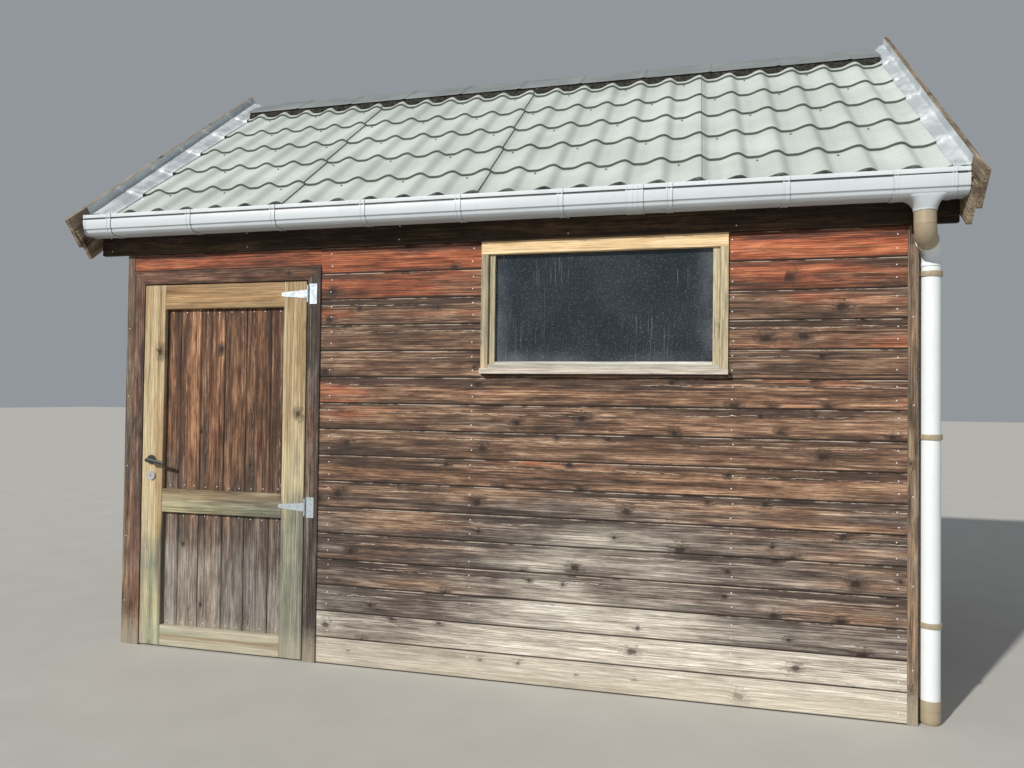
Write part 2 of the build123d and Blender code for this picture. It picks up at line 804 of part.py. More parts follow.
with BuildPart() as ridge_cap:
    cap_left = -barge_middle + flashing_width_left
    cap_right = barge_middle - flashing_width_right
    with BuildSketch(Plane.YZ.offset(cap_left)):
        with BuildLine():
            feet = []
            for above in (ridge_cap_thickness, 0.0):
                y = foot_y - above * sin(cap_pitch)
                z = foot_z + above * cos(cap_pitch)
                radius = ridge_cap_radius - ridge_cap_thickness + above
                top = under_cap(0.0) + above / cos(cap_pitch)
                FilletPolyline((y, z), (0.0, top), (-y, z), radius=radius)
                feet.append((y, z))
            Line(feet[0], feet[1])
            Line((-feet[0][0], feet[0][1]), (-feet[1][0], feet[1][1]))
        make_face()
    extrude(amount=cap_right - cap_left)
    filler_front = slope(cap_foot + ridge_filler_inset, ridge_filler_gap)
    filler_back = slope(cap_foot + ridge_filler_inset + ridge_filler_depth, ridge_filler_gap)
    filler_outline = [
        filler_front,
        (filler_front[0], under_cap(filler_front[0]) - ridge_filler_gap),
        (filler_back[0], under_cap(filler_back[0]) - ridge_filler_gap),
        filler_back,
    ]
    for outline in both_slopes(filler_outline):
        prism(outline, cap_left, cap_right)
finish(ridge_cap, "ridge_cap")

# Gutters: a moulded trough with a lip, a groove and a step on its front
gutter_back = fascia_front - bracket_thickness
gutter_front = gutter_back - gutter_depth
gutter_lip_top = wall_height + gutter_lip_rise
gutter_bottom = gutter_lip_top - gutter_height
gutter_end = barge_inner - gutter_end_gap
groove_top = gutter_lip_top - gutter_lip_band
groove_bottom = groove_top - gutter_groove_height
step_z = gutter_lip_top - gutter_step_below_lip
front_line = [
    (gutter_front, gutter_lip_top),
    (gutter_front, groove_top),
    (gutter_front + gutter_groove_depth, groove_top - gutter_groove_taper),
    (gutter_front + gutter_groove_depth, groove_bottom + gutter_groove_taper),
]
body_line = [
    (gutter_front, groove_bottom),
    (gutter_front + gutter_lean, step_z),
    (gutter_front + gutter_step_depth, step_z - gutter_step_depth / 2),
    (gutter_front + gutter_step_depth + gutter_thickness, gutter_bottom + gutter_foot / 2),
    (gutter_front + gutter_foot, gutter_bottom),
    (gutter_back - gutter_heel, gutter_bottom),
    (gutter_back, gutter_bottom + gutter_heel),
    (gutter_back, gutter_lip_top),
]
gutter_line = front_line + body_line
band_line = [front_line[0]] + body_line[1:]


def parallel(points, distance):
    """An open outline in Y and Z moved sideways, to its left for a positive distance."""
    normals = []
    for (y_a, z_a), (y_b, z_b) in zip(points, points[1:]):
        length = hypot(y_b - y_a, z_b - z_a)
        normals.append(((z_a - z_b) / length, (y_b - y_a) / length))
    before = [normals[0]] + normals
    after = normals + [normals[-1]]
    moved = []
    for (y, z), (a_y, a_z), (b_y, b_z) in zip(points, before, after):
        reach = distance / (1 + a_y * b_y + a_z * b_z)
        moved.append((y + (a_y + b_y) * reach, z + (a_z + b_z) * reach))
    return moved


gutter_inside = parallel(gutter_line, gutter_thickness)
trough_outline = gutter_line + gutter_inside[::-1]
cap_outline = gutter_line[:-1] + [(gutter_back, gutter_lip_top - gutter_cap_fall)]
with BuildPart() as gutters:
    prism(trough_outline, -gutter_end, gutter_end)
    prism(cap_outline, -gutter_end, -gutter_end + gutter_thickness)
    prism(cap_outline, gutter_end - gutter_thickness, gutter_end)
    mirror(about=Plane.XZ)
finish(gutters, "gutters")

# Bands around the gutters: brackets, the union and the sleeve of the outlet
outlet_x = half_width + outlet_from_wall_end
outlet_y = (gutter_front + gutter_back) / 2
sleeve_middle = outlet_x + outlet_sleeve_shift
sleeve_left = sleeve_middle - outlet_width / 2
bracket_first = -gutter_end + bracket_from_end
bracket_count = floor((sleeve_left - bracket_first) / bracket_spacing) + 1
bands = [
    (bracket_first + number * bracket_spacing, bracket_width) for number in range(bracket_count)
]
union_place = -gutter_end + gutter_length
if union_place + union_width < sleeve_left:
    bands.append((union_place, union_width))
bands.append((sleeve_middle, outlet_width))
band_outline = parallel(band_line, -bracket_thickness)
with BuildPart() as gutter_bands:
    for middle, width in bands:
        prism(band_outline, middle - width / 2, middle + width / 2)
    prism(gutter_line, -gutter_end, gutter_end, Mode.SUBTRACT)
    mirror(about=Plane.XZ)
finish(gutter_bands, "gutter_bands")

# Funnels under the sleeves
funnel_top = gutter_bottom - bracket_thickness
funnel_foot = funnel_top - funnel_height
with BuildPart() as gutter_outlets:
    with BuildSketch(Plane.XY.offset(funnel_top)):
        with Locations((outlet_x, outlet_y)):
            Ellipse(funnel_width / 2, funnel_depth / 2)
    with BuildSketch(Plane.XY.offset(funnel_foot)):
        with Locations((outlet_x, outlet_y)):
            Circle(pipe_radius)
    loft()
    mirror(about=Plane.XZ)
finish(gutter_outlets, "gutter_outlets")

# Downpipes: an upper elbow out from the funnel, a second bend and a straight fall to the shoe
pipe_x = half_width + pipe_from_wall
pipe_y = -face_y + pipe_behind_front
crossing_top = funnel_foot - elbow_drop
crossing_foot = crossing_top - crossing_fall
crossing_start = Vector(outlet_x, outlet_y, crossing_top)
crossing_end = Vector(pipe_x, pipe_y, crossing_foot)
elbow_joint = crossing_start + (crossing_end - crossing_start) * crossing_joint
collar_bottom = crossing_foot - collar_below_bend - collar_height

with BuildPart() as downpipes:
    with BuildLine() as pipe_path:
        FilletPolyline(elbow_joint, crossing_end, (pipe_x, pipe_y, shoe_height), radius=bend_radius)
    with BuildSketch(Plane(origin=pipe_path.line @ 0, z_dir=pipe_path.line % 0)):
        Circle(pipe_radius)
    sweep()
    with BuildSketch(Plane.XY.offset(collar_bottom)):
        with Locations((pipe_x, pipe_y)):
            Circle(collar_radius)
    extrude(amount=collar_height)
    mirror(about=Plane.XZ)
finish(downpipes, "downpipes")

with BuildPart() as pipe_fittings:
    with BuildLine() as elbow_path:
        FilletPolyline(
            (outlet_x, outlet_y, funnel_foot), crossing_start, elbow_joint, radius=bend_radius
        )
    with BuildSketch(Plane(origin=elbow_path.line @ 0, z_dir=elbow_path.line % 0)):
        Circle(pipe_radius)
    sweep()
    with BuildSketch():
        with Locations((pipe_x, pipe_y)):
            Circle(shoe_radius)
    extrude(amount=shoe_height)
    for z in (low_clip_height, middle_clip_height, wall_height - top_clip_drop):
        with BuildSketch(Plane.XY.offset(z - clip_height / 2)):
            with Locations((pipe_x, pipe_y)):
                Circle(clip_radius)
            with Locations(((half_width + pipe_x) / 2, pipe_y)):
                Rectangle(pipe_x - half_width, clip_base_width)
            with Locations((pipe_x, pipe_y)):
                Circle(pipe_radius + clip_gap, mode=Mode.SUBTRACT)
        extrude(amount=clip_height)
    mirror(about=Plane.XZ)
finish(pipe_fittings, "pipe_fittings")
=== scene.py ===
# %% [markdown]
# # A board-clad garden shed
# The real shed is a frame of sawn posts and studs, closed with horizontal boards, with a boarded door, one
# window, and a roof of pressed metal sheets that look like tiles. The frame file holds every part at its true
# size. This lesson models again what needs more than a plain solid, and gives each surface its own finish.

# %% Load the frame
import math
import random

import bmesh
import bpy
from mathutils import Matrix, Vector, noise


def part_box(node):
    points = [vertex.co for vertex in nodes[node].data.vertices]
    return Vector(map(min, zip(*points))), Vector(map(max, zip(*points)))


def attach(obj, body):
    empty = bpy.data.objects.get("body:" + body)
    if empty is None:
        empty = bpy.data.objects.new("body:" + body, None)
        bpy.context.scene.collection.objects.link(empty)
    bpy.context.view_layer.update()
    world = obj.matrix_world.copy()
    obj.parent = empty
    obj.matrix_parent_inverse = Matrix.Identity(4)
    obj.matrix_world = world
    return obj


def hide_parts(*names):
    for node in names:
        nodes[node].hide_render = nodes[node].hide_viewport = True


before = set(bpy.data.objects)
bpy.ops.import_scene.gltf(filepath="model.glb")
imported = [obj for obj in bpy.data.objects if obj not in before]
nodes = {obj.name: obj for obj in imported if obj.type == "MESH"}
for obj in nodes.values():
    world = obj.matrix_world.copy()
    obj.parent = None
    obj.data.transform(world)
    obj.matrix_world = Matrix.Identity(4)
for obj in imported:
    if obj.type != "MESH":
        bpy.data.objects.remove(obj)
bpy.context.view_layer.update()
chance = random.Random(11)

# %% [markdown]
# ## Camera
# The picture was taken by hand at eye height, from a little right of the window. A camera could be aimed at a
# point, but a place, a turn, a tilt and a slight roll are what a photographer really chooses, so its three
# axes follow from those.

# %% Set up the camera
camera_place = Vector((1.1266, -5.182, 1.4396))
turn_left = math.radians(13.816)
tilt_up = math.radians(1.056)
roll_right = math.radians(0.68)
forward = Vector((
    -math.sin(turn_left) * math.cos(tilt_up),
    math.cos(turn_left) * math.cos(tilt_up),
    math.sin(tilt_up),
))
level_right = Vector((math.cos(turn_left), math.sin(turn_left), 0.0))
level_up = level_right.cross(forward)
camera_right = level_right * math.cos(roll_right) + level_up * math.sin(roll_right)
camera_up = camera_right.cross(forward)

lens = bpy.data.cameras.new("photo_camera")
lens.sensor_width = 36.0
lens.lens = 26.36
camera = bpy.data.objects.new("photo_camera", lens)
camera.matrix_world = Matrix.Translation(camera_place) @ Matrix(
    (camera_right, camera_up, -forward)
).transposed().to_4x4()
bpy.context.scene.collection.objects.link(camera)
bpy.context.scene.camera = camera
print(f"camera: {camera_place.length:.2f} m from the middle of the floor, lens {lens.lens} mm")

# %% [markdown]
# ## Floor and light
# A floor catches the shadow. It is a wide flat grid, and no part of the shed.

# %% Lay the floor
scene = bpy.context.scene
scene.view_settings.view_transform = "Standard"

floor_mesh = bmesh.new()
bmesh.ops.create_grid(floor_mesh, x_segments=8, y_segments=8, size=60.0)
floor_data = bpy.data.meshes.new("studio_floor")
floor_mesh.to_mesh(floor_data)
floor_mesh.free()
studio_floor = bpy.data.objects.new("studio_floor", floor_data)
scene.collection.objects.link(studio_floor)
print(f"floor: {studio_floor.dimensions.x:.0f} m wide")

# %% [markdown]
# Lamps could be hung round the shed, but out of doors there is one sun and a bright sky. So one soft sun
# stands high on the front left, and the gutter throws its shadow on the fascia. A pale surrounding light
# fills the shadows.

# %% Hang the lights
sun_direction = Vector((-0.577, -1.0, 0.7))
sun_light = bpy.data.lights.new("soft_sun", "SUN")
sun_light.energy = 3.35
sun_light.angle = math.radians(1.6)
sun_light.color = (1.0, 0.975, 0.93)
soft_sun = bpy.data.objects.new("soft_sun", sun_light)
soft_sun.matrix_world = sun_direction.to_track_quat("Z", "Y").to_matrix().to_4x4()
scene.collection.objects.link(soft_sun)

surround = bpy.data.worlds.new("surround")
surround.use_nodes = True
surround.node_tree.nodes["Background"].inputs["Color"].default_value = (0.8, 0.86, 0.93, 1.0)
surround.node_tree.nodes["Background"].inputs["Strength"].default_value = 0.36
scene.world = surround
print(f"sun {math.degrees(sun_direction.angle(Vector((0, 0, 1)))):.0f} degrees off the vertical")

# %% [markdown]
# ## Small tools for node trees
# Every finish below is a small network of nodes. It could be wired by hand in the node editor, but with a
# short helper for each usual step, a finish reads as a list of steps.

# %% Nodes, arithmetic and noise
def place_node(tree, kind, inputs=None, **settings):
    """Add a shader node; each input is a plain value or another node's output socket."""
    node = tree.nodes.new("ShaderNode" + kind)
    for name, value in settings.items():
        setattr(node, name, value)
    for name, value in (inputs or {}).items():
        if isinstance(value, bpy.types.NodeSocket):
            tree.links.new(value, node.inputs[name])
        else:
            node.inputs[name].default_value = value
    return node


def number(tree, operation, *values, clamp=False):
    """One step of arithmetic, such as ADD, on two values, or MULTIPLY_ADD on three."""
    inputs = dict(enumerate(values))
    return place_node(tree, "Math", inputs, operation=operation, use_clamp=clamp).outputs[0]


def product(tree, first, *others):
    """Several values or masks multiplied together."""
    for other in others:
        first = number(tree, "MULTIPLY", first, other)
    return first


def swing(tree, value, reach):
    """Turn a value around one half into a push to either side."""
    return product(tree, number(tree, "SUBTRACT", value, 0.5), reach)


def vector_step(tree, operation, first, second):
    """One step of arithmetic on whole vectors."""
    return place_node(tree, "VectorMath", {0: first, 1: second}, operation=operation).outputs[0]


def stretched(tree, vector, along, across, through):
    """The same coordinates, scaled by their own factor on each axis."""
    return vector_step(tree, "MULTIPLY", vector, (along, across, through))


def soft_noise(tree, vector, scale=1.0, detail=2.0, roughness=0.5):
    """Cloudy noise between 0 and 1."""
    inputs = {"Vector": vector, "Scale": scale, "Detail": detail, "Roughness": roughness}
    return place_node(tree, "TexNoise", inputs).outputs["Fac"]


def threshold(tree, value, low, high, to_low=0.0, to_high=1.0):
    """A soft step that runs from to_low at low to to_high at high."""
    inputs = {"Value": value, "From Min": low, "From Max": high, "To Min": to_low, "To Max": to_high}
    return place_node(tree, "MapRange", inputs, interpolation_type="SMOOTHSTEP").outputs["Result"]


print("arithmetic and noise ready")

# %% [markdown]
# A finish is built up as a painter would: a ground colour, then stains laid over it where their masks let
# them through. `stained` is that one move, and `relief` makes small bumps of a pattern.

# %% Colours and relief
def blend(tree, share, first, second, mode="MIX"):
    """Two colours blended by a share between 0 and 1."""
    node = place_node(tree, "Mix", {"Factor": share}, data_type="RGBA", blend_type=mode)
    for socket, value in ((node.inputs[6], first), (node.inputs[7], second)):
        if isinstance(value, bpy.types.NodeSocket):
            tree.links.new(value, socket)
        else:
            socket.default_value = (*value, 1.0)
    return node.outputs[2]


def stained(tree, ground, colour, *masks):
    """A colour laid over the ground colour, as strong as all its masks together."""
    return blend(tree, product(tree, *masks), ground, colour)


def colour_steps(tree, value, steps):
    """A smooth row of colours, from (place, colour) pairs."""
    ramp = place_node(tree, "ValToRGB", {"Fac": value})
    elements = ramp.color_ramp.elements
    while len(elements) < len(steps):
        elements.new(0.5)
    for element, (place, colour) in zip(elements, steps):
        element.position = place
        element.color = (*colour, 1.0)
    return ramp.outputs["Color"]


def relief(tree, height, depth, strength=1.0):
    """A bump in metres from a height between 0 and 1."""
    inputs = {"Height": height, "Distance": depth, "Strength": strength}
    return place_node(tree, "Bump", inputs).outputs["Normal"]


print("colours and relief ready")

# %% [markdown]
# A pattern reads either the place on the shed, in metres, or a value that the mesh carries at its points.
# What several finishes share becomes a node group, built once.

# %% Places, groups and materials
def attribute(tree, name, output="Vector"):
    """Read a value that the mesh carries at its points."""
    return place_node(tree, "Attribute", attribute_name=name).outputs[output]


def object_place(tree):
    """Where the point lies on the shed, in metres."""
    return place_node(tree, "TexCoord").outputs["Object"]


def axis_values(tree, vector):
    """The three numbers of a vector."""
    return place_node(tree, "SeparateXYZ", {"Vector": vector}).outputs


def start_group(name, inputs):
    """A node group with named inputs; a default of None makes a vector input."""
    tree = bpy.data.node_groups.new(name, "ShaderNodeTree")
    for label, value in inputs.items():
        kind = "NodeSocketVector" if value is None else "NodeSocketFloat"
        socket = tree.interface.new_socket(label, in_out="INPUT", socket_type=kind)
        if value is not None:
            socket.default_value = value
    return tree, tree.nodes.new("NodeGroupInput").outputs


def finish_group(tree, results):
    """Give the group one output for each named result."""
    for label in results:
        tree.interface.new_socket(label, in_out="OUTPUT", socket_type="NodeSocketFloat")
    out = tree.nodes.new("NodeGroupOutput").inputs
    for label, socket in results.items():
        tree.links.new(socket, out[label])
    print(f"{tree.name}: {len(tree.nodes)} nodes")


def use_group(tree, group, inputs):
    """Place a node group in a material and return its outputs."""
    return place_node(tree, "Group", inputs, node_tree=group).outputs


def start_material(name, **shader_values):
    """A new material, its node tree, and its shader with plain values set on its sockets."""
    material = bpy.data.materials.new(name)
    material.use_nodes = True
    tree = material.node_tree
    shader = tree.nodes["Principled BSDF"]
    for label, value in shader_values.items():
        shader.inputs[label.replace("_", " ")].default_value = value
    return material, tree, shader.inputs


def finish_material(tree, shader, colour, roughness=None, normal=None):
    """Wire the results of a network to the shader."""
    tree.links.new(colour, shader["Base Color"])
    if roughness is not None:
        tree.links.new(roughness, shader["Roughness"])
    if normal is not None:
        tree.links.new(normal, shader["Normal"])


print("groups and materials ready")

# %% [markdown]
# ## Grain, as one group for all timber
# A sawn board shows bands, fine streaks, thin pale cracks and knots. They follow the board and not the wall,
# so each board carries its own grain coordinates: along, across and through it, in metres. The knots come
# first: each cell of a cell pattern holds one at most, and the halo round it pushes the grain aside.

# %% Knots of the grain group
grain_group, given = start_group(
    "timber_grain", {"Grain": None, "Across": 0.5, "Ring Width": 0.009, "Knot Share": 0.5})
tree = grain_group
grain = given["Grain"]
knot_cells = place_node(tree, "TexVoronoi", {
    "Vector": stretched(tree, grain, 4.2, 6.0, 0.0), "Scale": 1.0, "Randomness": 1.0,
}, voronoi_dimensions="2D")
cell_chances = axis_values(tree, knot_cells.outputs["Color"])
chosen = threshold(tree, cell_chances["X"], given["Knot Share"],
                   number(tree, "ADD", given["Knot Share"], 0.02), 1.0, 0.0)
knot_size = number(tree, "MULTIPLY_ADD", cell_chances["Y"], 0.07, 0.045)
knot_reach = number(tree, "DIVIDE", knot_cells.outputs["Distance"], knot_size)
knot_noise = soft_noise(tree, stretched(tree, grain, 45.0, 30.0, 1.0), detail=3.0, roughness=0.6)


def ragged_spot(wobble, inner, outer):
    """A mask round each chosen knot, with a ragged rim."""
    reach = number(tree, "ADD", knot_reach, swing(tree, knot_noise, wobble))
    return product(tree, chosen, threshold(tree, reach, inner, outer, 1.0, 0.0))


knot = ragged_spot(1.6, 0.45, 1.15)
halo = ragged_spot(4.0, 0.8, 3.0)
pushed = place_node(tree, "CombineXYZ", {"Y": product(tree, halo, 0.007)}).outputs[0]
bent = vector_step(tree, "ADD", grain, pushed)
print(f"knots: {len(tree.nodes)} nodes")

# %% [markdown]
# Growth rings are cylinders round the heart of the tree, so rings round a line near the face give the arched
# figure of pine. Streaks, flecks and fibre are one cloudy noise, drawn out along the board and squeezed
# across.

# %% Rings, bands and streaks
drift = soft_noise(tree, stretched(tree, grain, 0.9, 2.0, 2.0))
ring_shift = place_node(tree, "CombineXYZ", {
    "X": 0.0, "Y": swing(tree, drift, 0.1), "Z": product(tree, halo, 0.012),
}).outputs[0]
ring_vector = vector_step(tree, "ADD", stretched(tree, grain, 0.15, 1.0, 1.0), ring_shift)
ring_scale = number(tree, "DIVIDE", 0.314, given["Ring Width"])
rings = place_node(tree, "TexWave", {
    "Vector": ring_vector, "Scale": ring_scale, "Distortion": 1.2, "Detail": 2.0, "Detail Scale": 1.5,
}, wave_type="RINGS", rings_direction="X", wave_profile="SAW").outputs["Fac"]
bands = soft_noise(tree, stretched(tree, grain, 0.8, 13.0, 2.0), detail=3.0, roughness=0.55)
streaks = soft_noise(tree, stretched(tree, bent, 2.2, 130.0, 40.0), detail=5.0, roughness=0.7)
fleck_noise = soft_noise(tree, stretched(tree, bent, 3.4, 120.0, 60.0), detail=4.0, roughness=0.65)
flecks = threshold(tree, fleck_noise, 0.52, 0.62)
fibre = soft_noise(tree, stretched(tree, bent, 5.0, 290.0, 200.0), detail=3.0, roughness=0.75)
blotches = soft_noise(tree, stretched(tree, bent, 6.5, 34.0, 12.0), detail=5.0, roughness=0.68)
print(f"rings, bands and streaks: {len(tree.nodes)} nodes")

# %% [markdown]
# Sun and rain open thin cracks. A board has one or two, so a slow noise chooses where the crack lies across
# the board, a jagged one lets it wander, and a third breaks it up.

# %% Cracks along the boards
line_noise = soft_noise(tree, stretched(tree, grain, 0.7, 0.0, 9.0))
line_place = number(tree, "MULTIPLY_ADD", line_noise, 0.6, 0.16)
jagged = soft_noise(tree, stretched(tree, bent, 9.0, 12.0, 1.0), detail=4.0, roughness=0.68)
line_place = number(tree, "ADD", line_place, swing(tree, jagged, 0.42))
line_gap = number(tree, "ABSOLUTE", number(tree, "SUBTRACT", given["Across"], line_place))
break_noise = soft_noise(tree, stretched(tree, grain, 13.0, 60.0, 1.0), detail=3.0)
line_breaks = product(tree, threshold(tree, break_noise, 0.41, 0.55), threshold(tree, drift, 0.42, 0.5))
lines = product(tree, threshold(tree, line_gap, 0.007, 0.026, 1.0, 0.0), line_breaks)
finish_group(tree, {"Bands": bands, "Streaks": streaks, "Rings": rings, "Lines": lines, "Knots": knot,
                    "Halo": halo, "Fibre": fibre, "Flecks": flecks, "Blotches": blotches})

# %% [markdown]
# ## Weather, as one group
# Rain splashes the lowest boards with sand, and a paler patch low in the middle of the front is painted as
# bleached and sunlit at once. The lower edge of each board is darkened by dirt in the joint and by painted
# shade under the board. These marks follow the wall and not the board, so this group reads the place on the
# shed.

# %% Build the weather group
weather_group, given = start_group("timber_weather", {"Place": None, "Across": 0.0})
tree = weather_group
place_axes = axis_values(tree, given["Place"])
patches = soft_noise(tree, stretched(tree, given["Place"], 0.9, 0.9, 2.6), scale=1.3, detail=3.0)
ragged = swing(tree, patches, 1.1)
# A paler patch low in the middle of the front: bleaching and a painted pool of sunlight together.
sunlit_bleached_middle = (0.64, -1.48, 0.52)
from_middle = stretched(tree, vector_step(tree, "SUBTRACT", given["Place"], sunlit_bleached_middle), 1.15, 1.0, 2.0)
sunny = place_node(tree, "VectorMath", {0: from_middle}, operation="LENGTH").outputs["Value"]
bleach_and_sunlight = threshold(tree, number(tree, "ADD", sunny, ragged), 0.1, 1.25, 0.46, 0.0)
faded = number(tree, "ADD", place_axes["X"], product(tree, ragged, 2.0))
fade = threshold(tree, faded, -1.0, 1.4, 0.94, 1.18)
speckle = soft_noise(tree, given["Place"], scale=60.0, detail=3.0, roughness=0.7)
splash_height = number(tree, "ADD", place_axes["Z"], product(tree, speckle, 0.16))
splash = threshold(tree, splash_height, 0.12, 0.3, 1.0, 0.0)
# The lower edge of each board darkens with dirt in the joint and with painted shade under the board.
joint_dirt_and_shade = threshold(tree, product(tree, given["Across"], -1.0), 0.86, 0.93)
finish_group(tree, {"Bleach And Sunlight": bleach_and_sunlight, "Splash": splash, "Joint Dirt And Shade": joint_dirt_and_shade, "Patches": patches,
                    "Fade": fade})

# %% [markdown]
# ## Grime, as one group for metal, plastic and glass
# Smooth surfaces out of doors carry a film of dust, specks, and runs that water has drawn downwards. One
# group gives all three to metal, plastic and glass.

# %% Build the grime group
grime_group, given = start_group("outdoor_grime", {"Place": None, "Speck Scale": 90.0})
tree = grime_group
film = soft_noise(tree, given["Place"], scale=3.5, detail=5.0, roughness=0.6)
specks = threshold(tree, soft_noise(tree, given["Place"], given["Speck Scale"], 2.0, 0.6), 0.62, 0.74)
runs = soft_noise(tree, stretched(tree, given["Place"], 70.0, 70.0, 2.2), detail=3.0, roughness=0.6)
finish_group(tree, {"Film": film, "Specks": specks, "Runs": runs})


def grime_on(tree, speck_scale):
    """The grime of a metal, plastic or glass surface."""
    return use_group(tree, grime_group, {"Place": object_place(tree), "Speck Scale": speck_scale})

# %% [markdown]
# ## Timber finishes
# The cladding was stained red-brown long ago. Under the eaves the stain is still there, lower down it has
# worn to brown and orange, and near the ground the wood is grey and pale. So one finish holds several
# palettes of three tones, and the age of each board chooses.

# %% Tones and age of the wood
def timber_colour(tree, grain_out, tones, contrast):
    """One palette of timber, driven by its streaks, bands and blotches; contrast 0 leaves it plain."""
    dark, middle, light = tones
    tone = number(tree, "MULTIPLY_ADD", grain_out["Streaks"], 0.4 * contrast, 0.5 - 0.5 * contrast)
    tone = number(tree, "ADD", tone, product(tree, grain_out["Bands"], 0.26 * contrast))
    tone = number(tree, "ADD", tone, product(tree, grain_out["Blotches"], 0.34 * contrast))
    return colour_steps(tree, tone, [(0.4, dark), (0.5, middle), (0.61, light)])


def timber_age(tree, board_age, grain_out, weather, low_ageing):
    """The board's age, moved about by the weather and the grain, and higher near the damp ground."""
    wander = number(tree, "ADD", swing(tree, weather["Patches"], 0.8), swing(tree, grain_out["Bands"], -0.9))
    # The bleach mask raises the age here, and it is partly a painted pool of sunlight.
    age = number(tree, "ADD", number(tree, "ADD", board_age, weather["Bleach And Sunlight"]), wander)
    height = axis_values(tree, object_place(tree))["Z"]
    return number(tree, "ADD", age, threshold(tree, height, 0.15, 1.5, low_ageing, 0.0))


def aged_wood(tree, grain_out, age, palettes, contrast):
    """The freshest palette, with each older one over it where the wood has reached its age."""
    (_, tones), *older = palettes
    wood = timber_colour(tree, grain_out, tones, contrast)
    for (age_from, age_to), tones in older:
        wood = blend(tree, threshold(tree, age, age_from, age_to), wood,
                     timber_colour(tree, grain_out, tones, contrast))
    return wood


print("tones and age ready")

# %% [markdown]
# Over the palette come old stain that lingers ragged along the edges, dark flecks, pale cracks, and knots in
# their halos. Where the wood is bare, most of these are weaker.

# %% Marks of one board
def old_stain(tree, wood, grain_out, across, young, edge_shade, fleck_share):
    """Dark stain in ragged strips along both edges, and in flecks all over."""
    lean = swing(tree, grain_out["Bands"], -3.0)
    ragged = number(tree, "ADD", lean, swing(tree, grain_out["Streaks"], -2.0))
    upper = threshold(tree, number(tree, "ADD", across, ragged), 0.2, 0.8)
    lower = threshold(tree, number(tree, "SUBTRACT", ragged, across), 0.5, 1.05, 0.0, 0.7)
    edges = number(tree, "MAXIMUM", upper, lower)
    wood = stained(tree, wood, (0.045, 0.034, 0.029), edges, edge_shade, young)
    return stained(tree, wood, (0.035, 0.026, 0.021), grain_out["Flecks"], fleck_share, young)


def cracks_and_knots(tree, wood, grain_out, age, line_light):
    """Pale cracks that open with age, and knots in their dark halos."""
    opened = threshold(tree, age, 0.0, 0.35, 0.2 * line_light, line_light)
    wood = stained(tree, wood, (0.76, 0.66, 0.54), grain_out["Lines"], opened)
    halo_share = threshold(tree, age, 0.9, 1.2, 0.62, 0.3)
    wood = stained(tree, wood, (0.048, 0.034, 0.028), grain_out["Halo"], halo_share)
    return stained(tree, wood, (0.024, 0.016, 0.013), grain_out["Knots"], 0.75)


print("board marks ready")

# %% [markdown]
# Each timber of the shed is then one call of `weathered_timber`, with its own palettes and shares of the
# marks. Nine separate node trees would look the same, but each change would have to be made nine times.

# %% Weathered timber
def weathered_timber(name, palettes, ring_width=0.009, ring_share=0.22, knot_share=0.55, line_light=0.5,
                     edge_shade=0.3, edge_dirt_and_shade=0.3, low_ageing=0.0, fleck_share=0.35, fade_share=0.0,
                     top_arris_highlight=0.0, streaks=(), contrast=1.0):
    """Outdoor timber; palettes are (age, three tones), from the freshest wood to the oldest."""
    material, tree, shader = start_material(name, Specular_IOR_Level=0.25)
    board = axis_values(tree, attribute(tree, "board"))
    grain_place = attribute(tree, "grain")
    across = attribute(tree, "across", "Fac")
    grain_out = use_group(tree, grain_group, {
        "Grain": grain_place, "Across": across, "Ring Width": ring_width, "Knot Share": knot_share,
    })
    weather = use_group(tree, weather_group, {"Place": object_place(tree), "Across": across})
    age = timber_age(tree, board["Z"], grain_out, weather, low_ageing)
    wood = aged_wood(tree, grain_out, age, palettes, contrast)
    wood = stained(tree, wood, (0.05, 0.03, 0.02), grain_out["Rings"], ring_share)
    tint = colour_steps(tree, board["X"], [(0.0, (0.74, 0.72, 0.72)), (0.5, (1.0, 1.0, 1.0)),
                                           (1.0, (1.16, 1.11, 1.06))])
    wood = blend(tree, 1.0, wood, tint, "MULTIPLY")
    wood = blend(tree, fade_share, wood, blend(tree, 1.0, wood, weather["Fade"], "MULTIPLY"))
    young = threshold(tree, age, 0.9, 1.2, 1.0, 0.15)
    wood = old_stain(tree, wood, grain_out, across, young, edge_shade, fleck_share)
    # Fine fibre texture in the grain; where it runs bright, it is a painted glint of sun on raised grain.
    fine = threshold(tree, grain_out["Fibre"], 0.32, 0.68, 1.0 - 0.5 * contrast, 1.0 + 0.5 * contrast)
    wood = blend(tree, 1.0, wood, fine, "MULTIPLY")
    wood = cracks_and_knots(tree, wood, grain_out, age, line_light)
    wood = stained(tree, wood, (0.5, 0.45, 0.34), weather["Splash"], 0.45)
    for along_scale, across_scale, share, colour in streaks:
        stain = soft_noise(tree, stretched(tree, grain_place, along_scale, across_scale, 3.0))
        wood = blend(tree, threshold(tree, stain, 0.5, 0.62, 0.0, share), wood, colour, "MULTIPLY")
    # A pale line along the top arris of each board: a painted highlight where the arris catches the sun, with
    # some wear.
    wood = stained(tree, wood, (0.52, 0.43, 0.35), threshold(tree, across, 0.925, 0.945, 0.0, top_arris_highlight),
                   threshold(tree, grain_out["Blotches"], 0.44, 0.58))
    # Dirt and painted shade along each board's lower edge.
    wood = stained(tree, wood, (0.03, 0.022, 0.018), weather["Joint Dirt And Shade"], edge_dirt_and_shade)
    height = number(tree, "ADD", product(tree, grain_out["Fibre"], 0.5),
                    number(tree, "SUBTRACT", grain_out["Streaks"], grain_out["Knots"]))
    rough = number(tree, "MULTIPLY_ADD", grain_out["Streaks"], 0.25, 0.62)
    finish_material(tree, shader, wood, rough, relief(tree, height, 0.0016, 0.6))
    print(f"{name}: {len(palettes)} palettes")
    return material


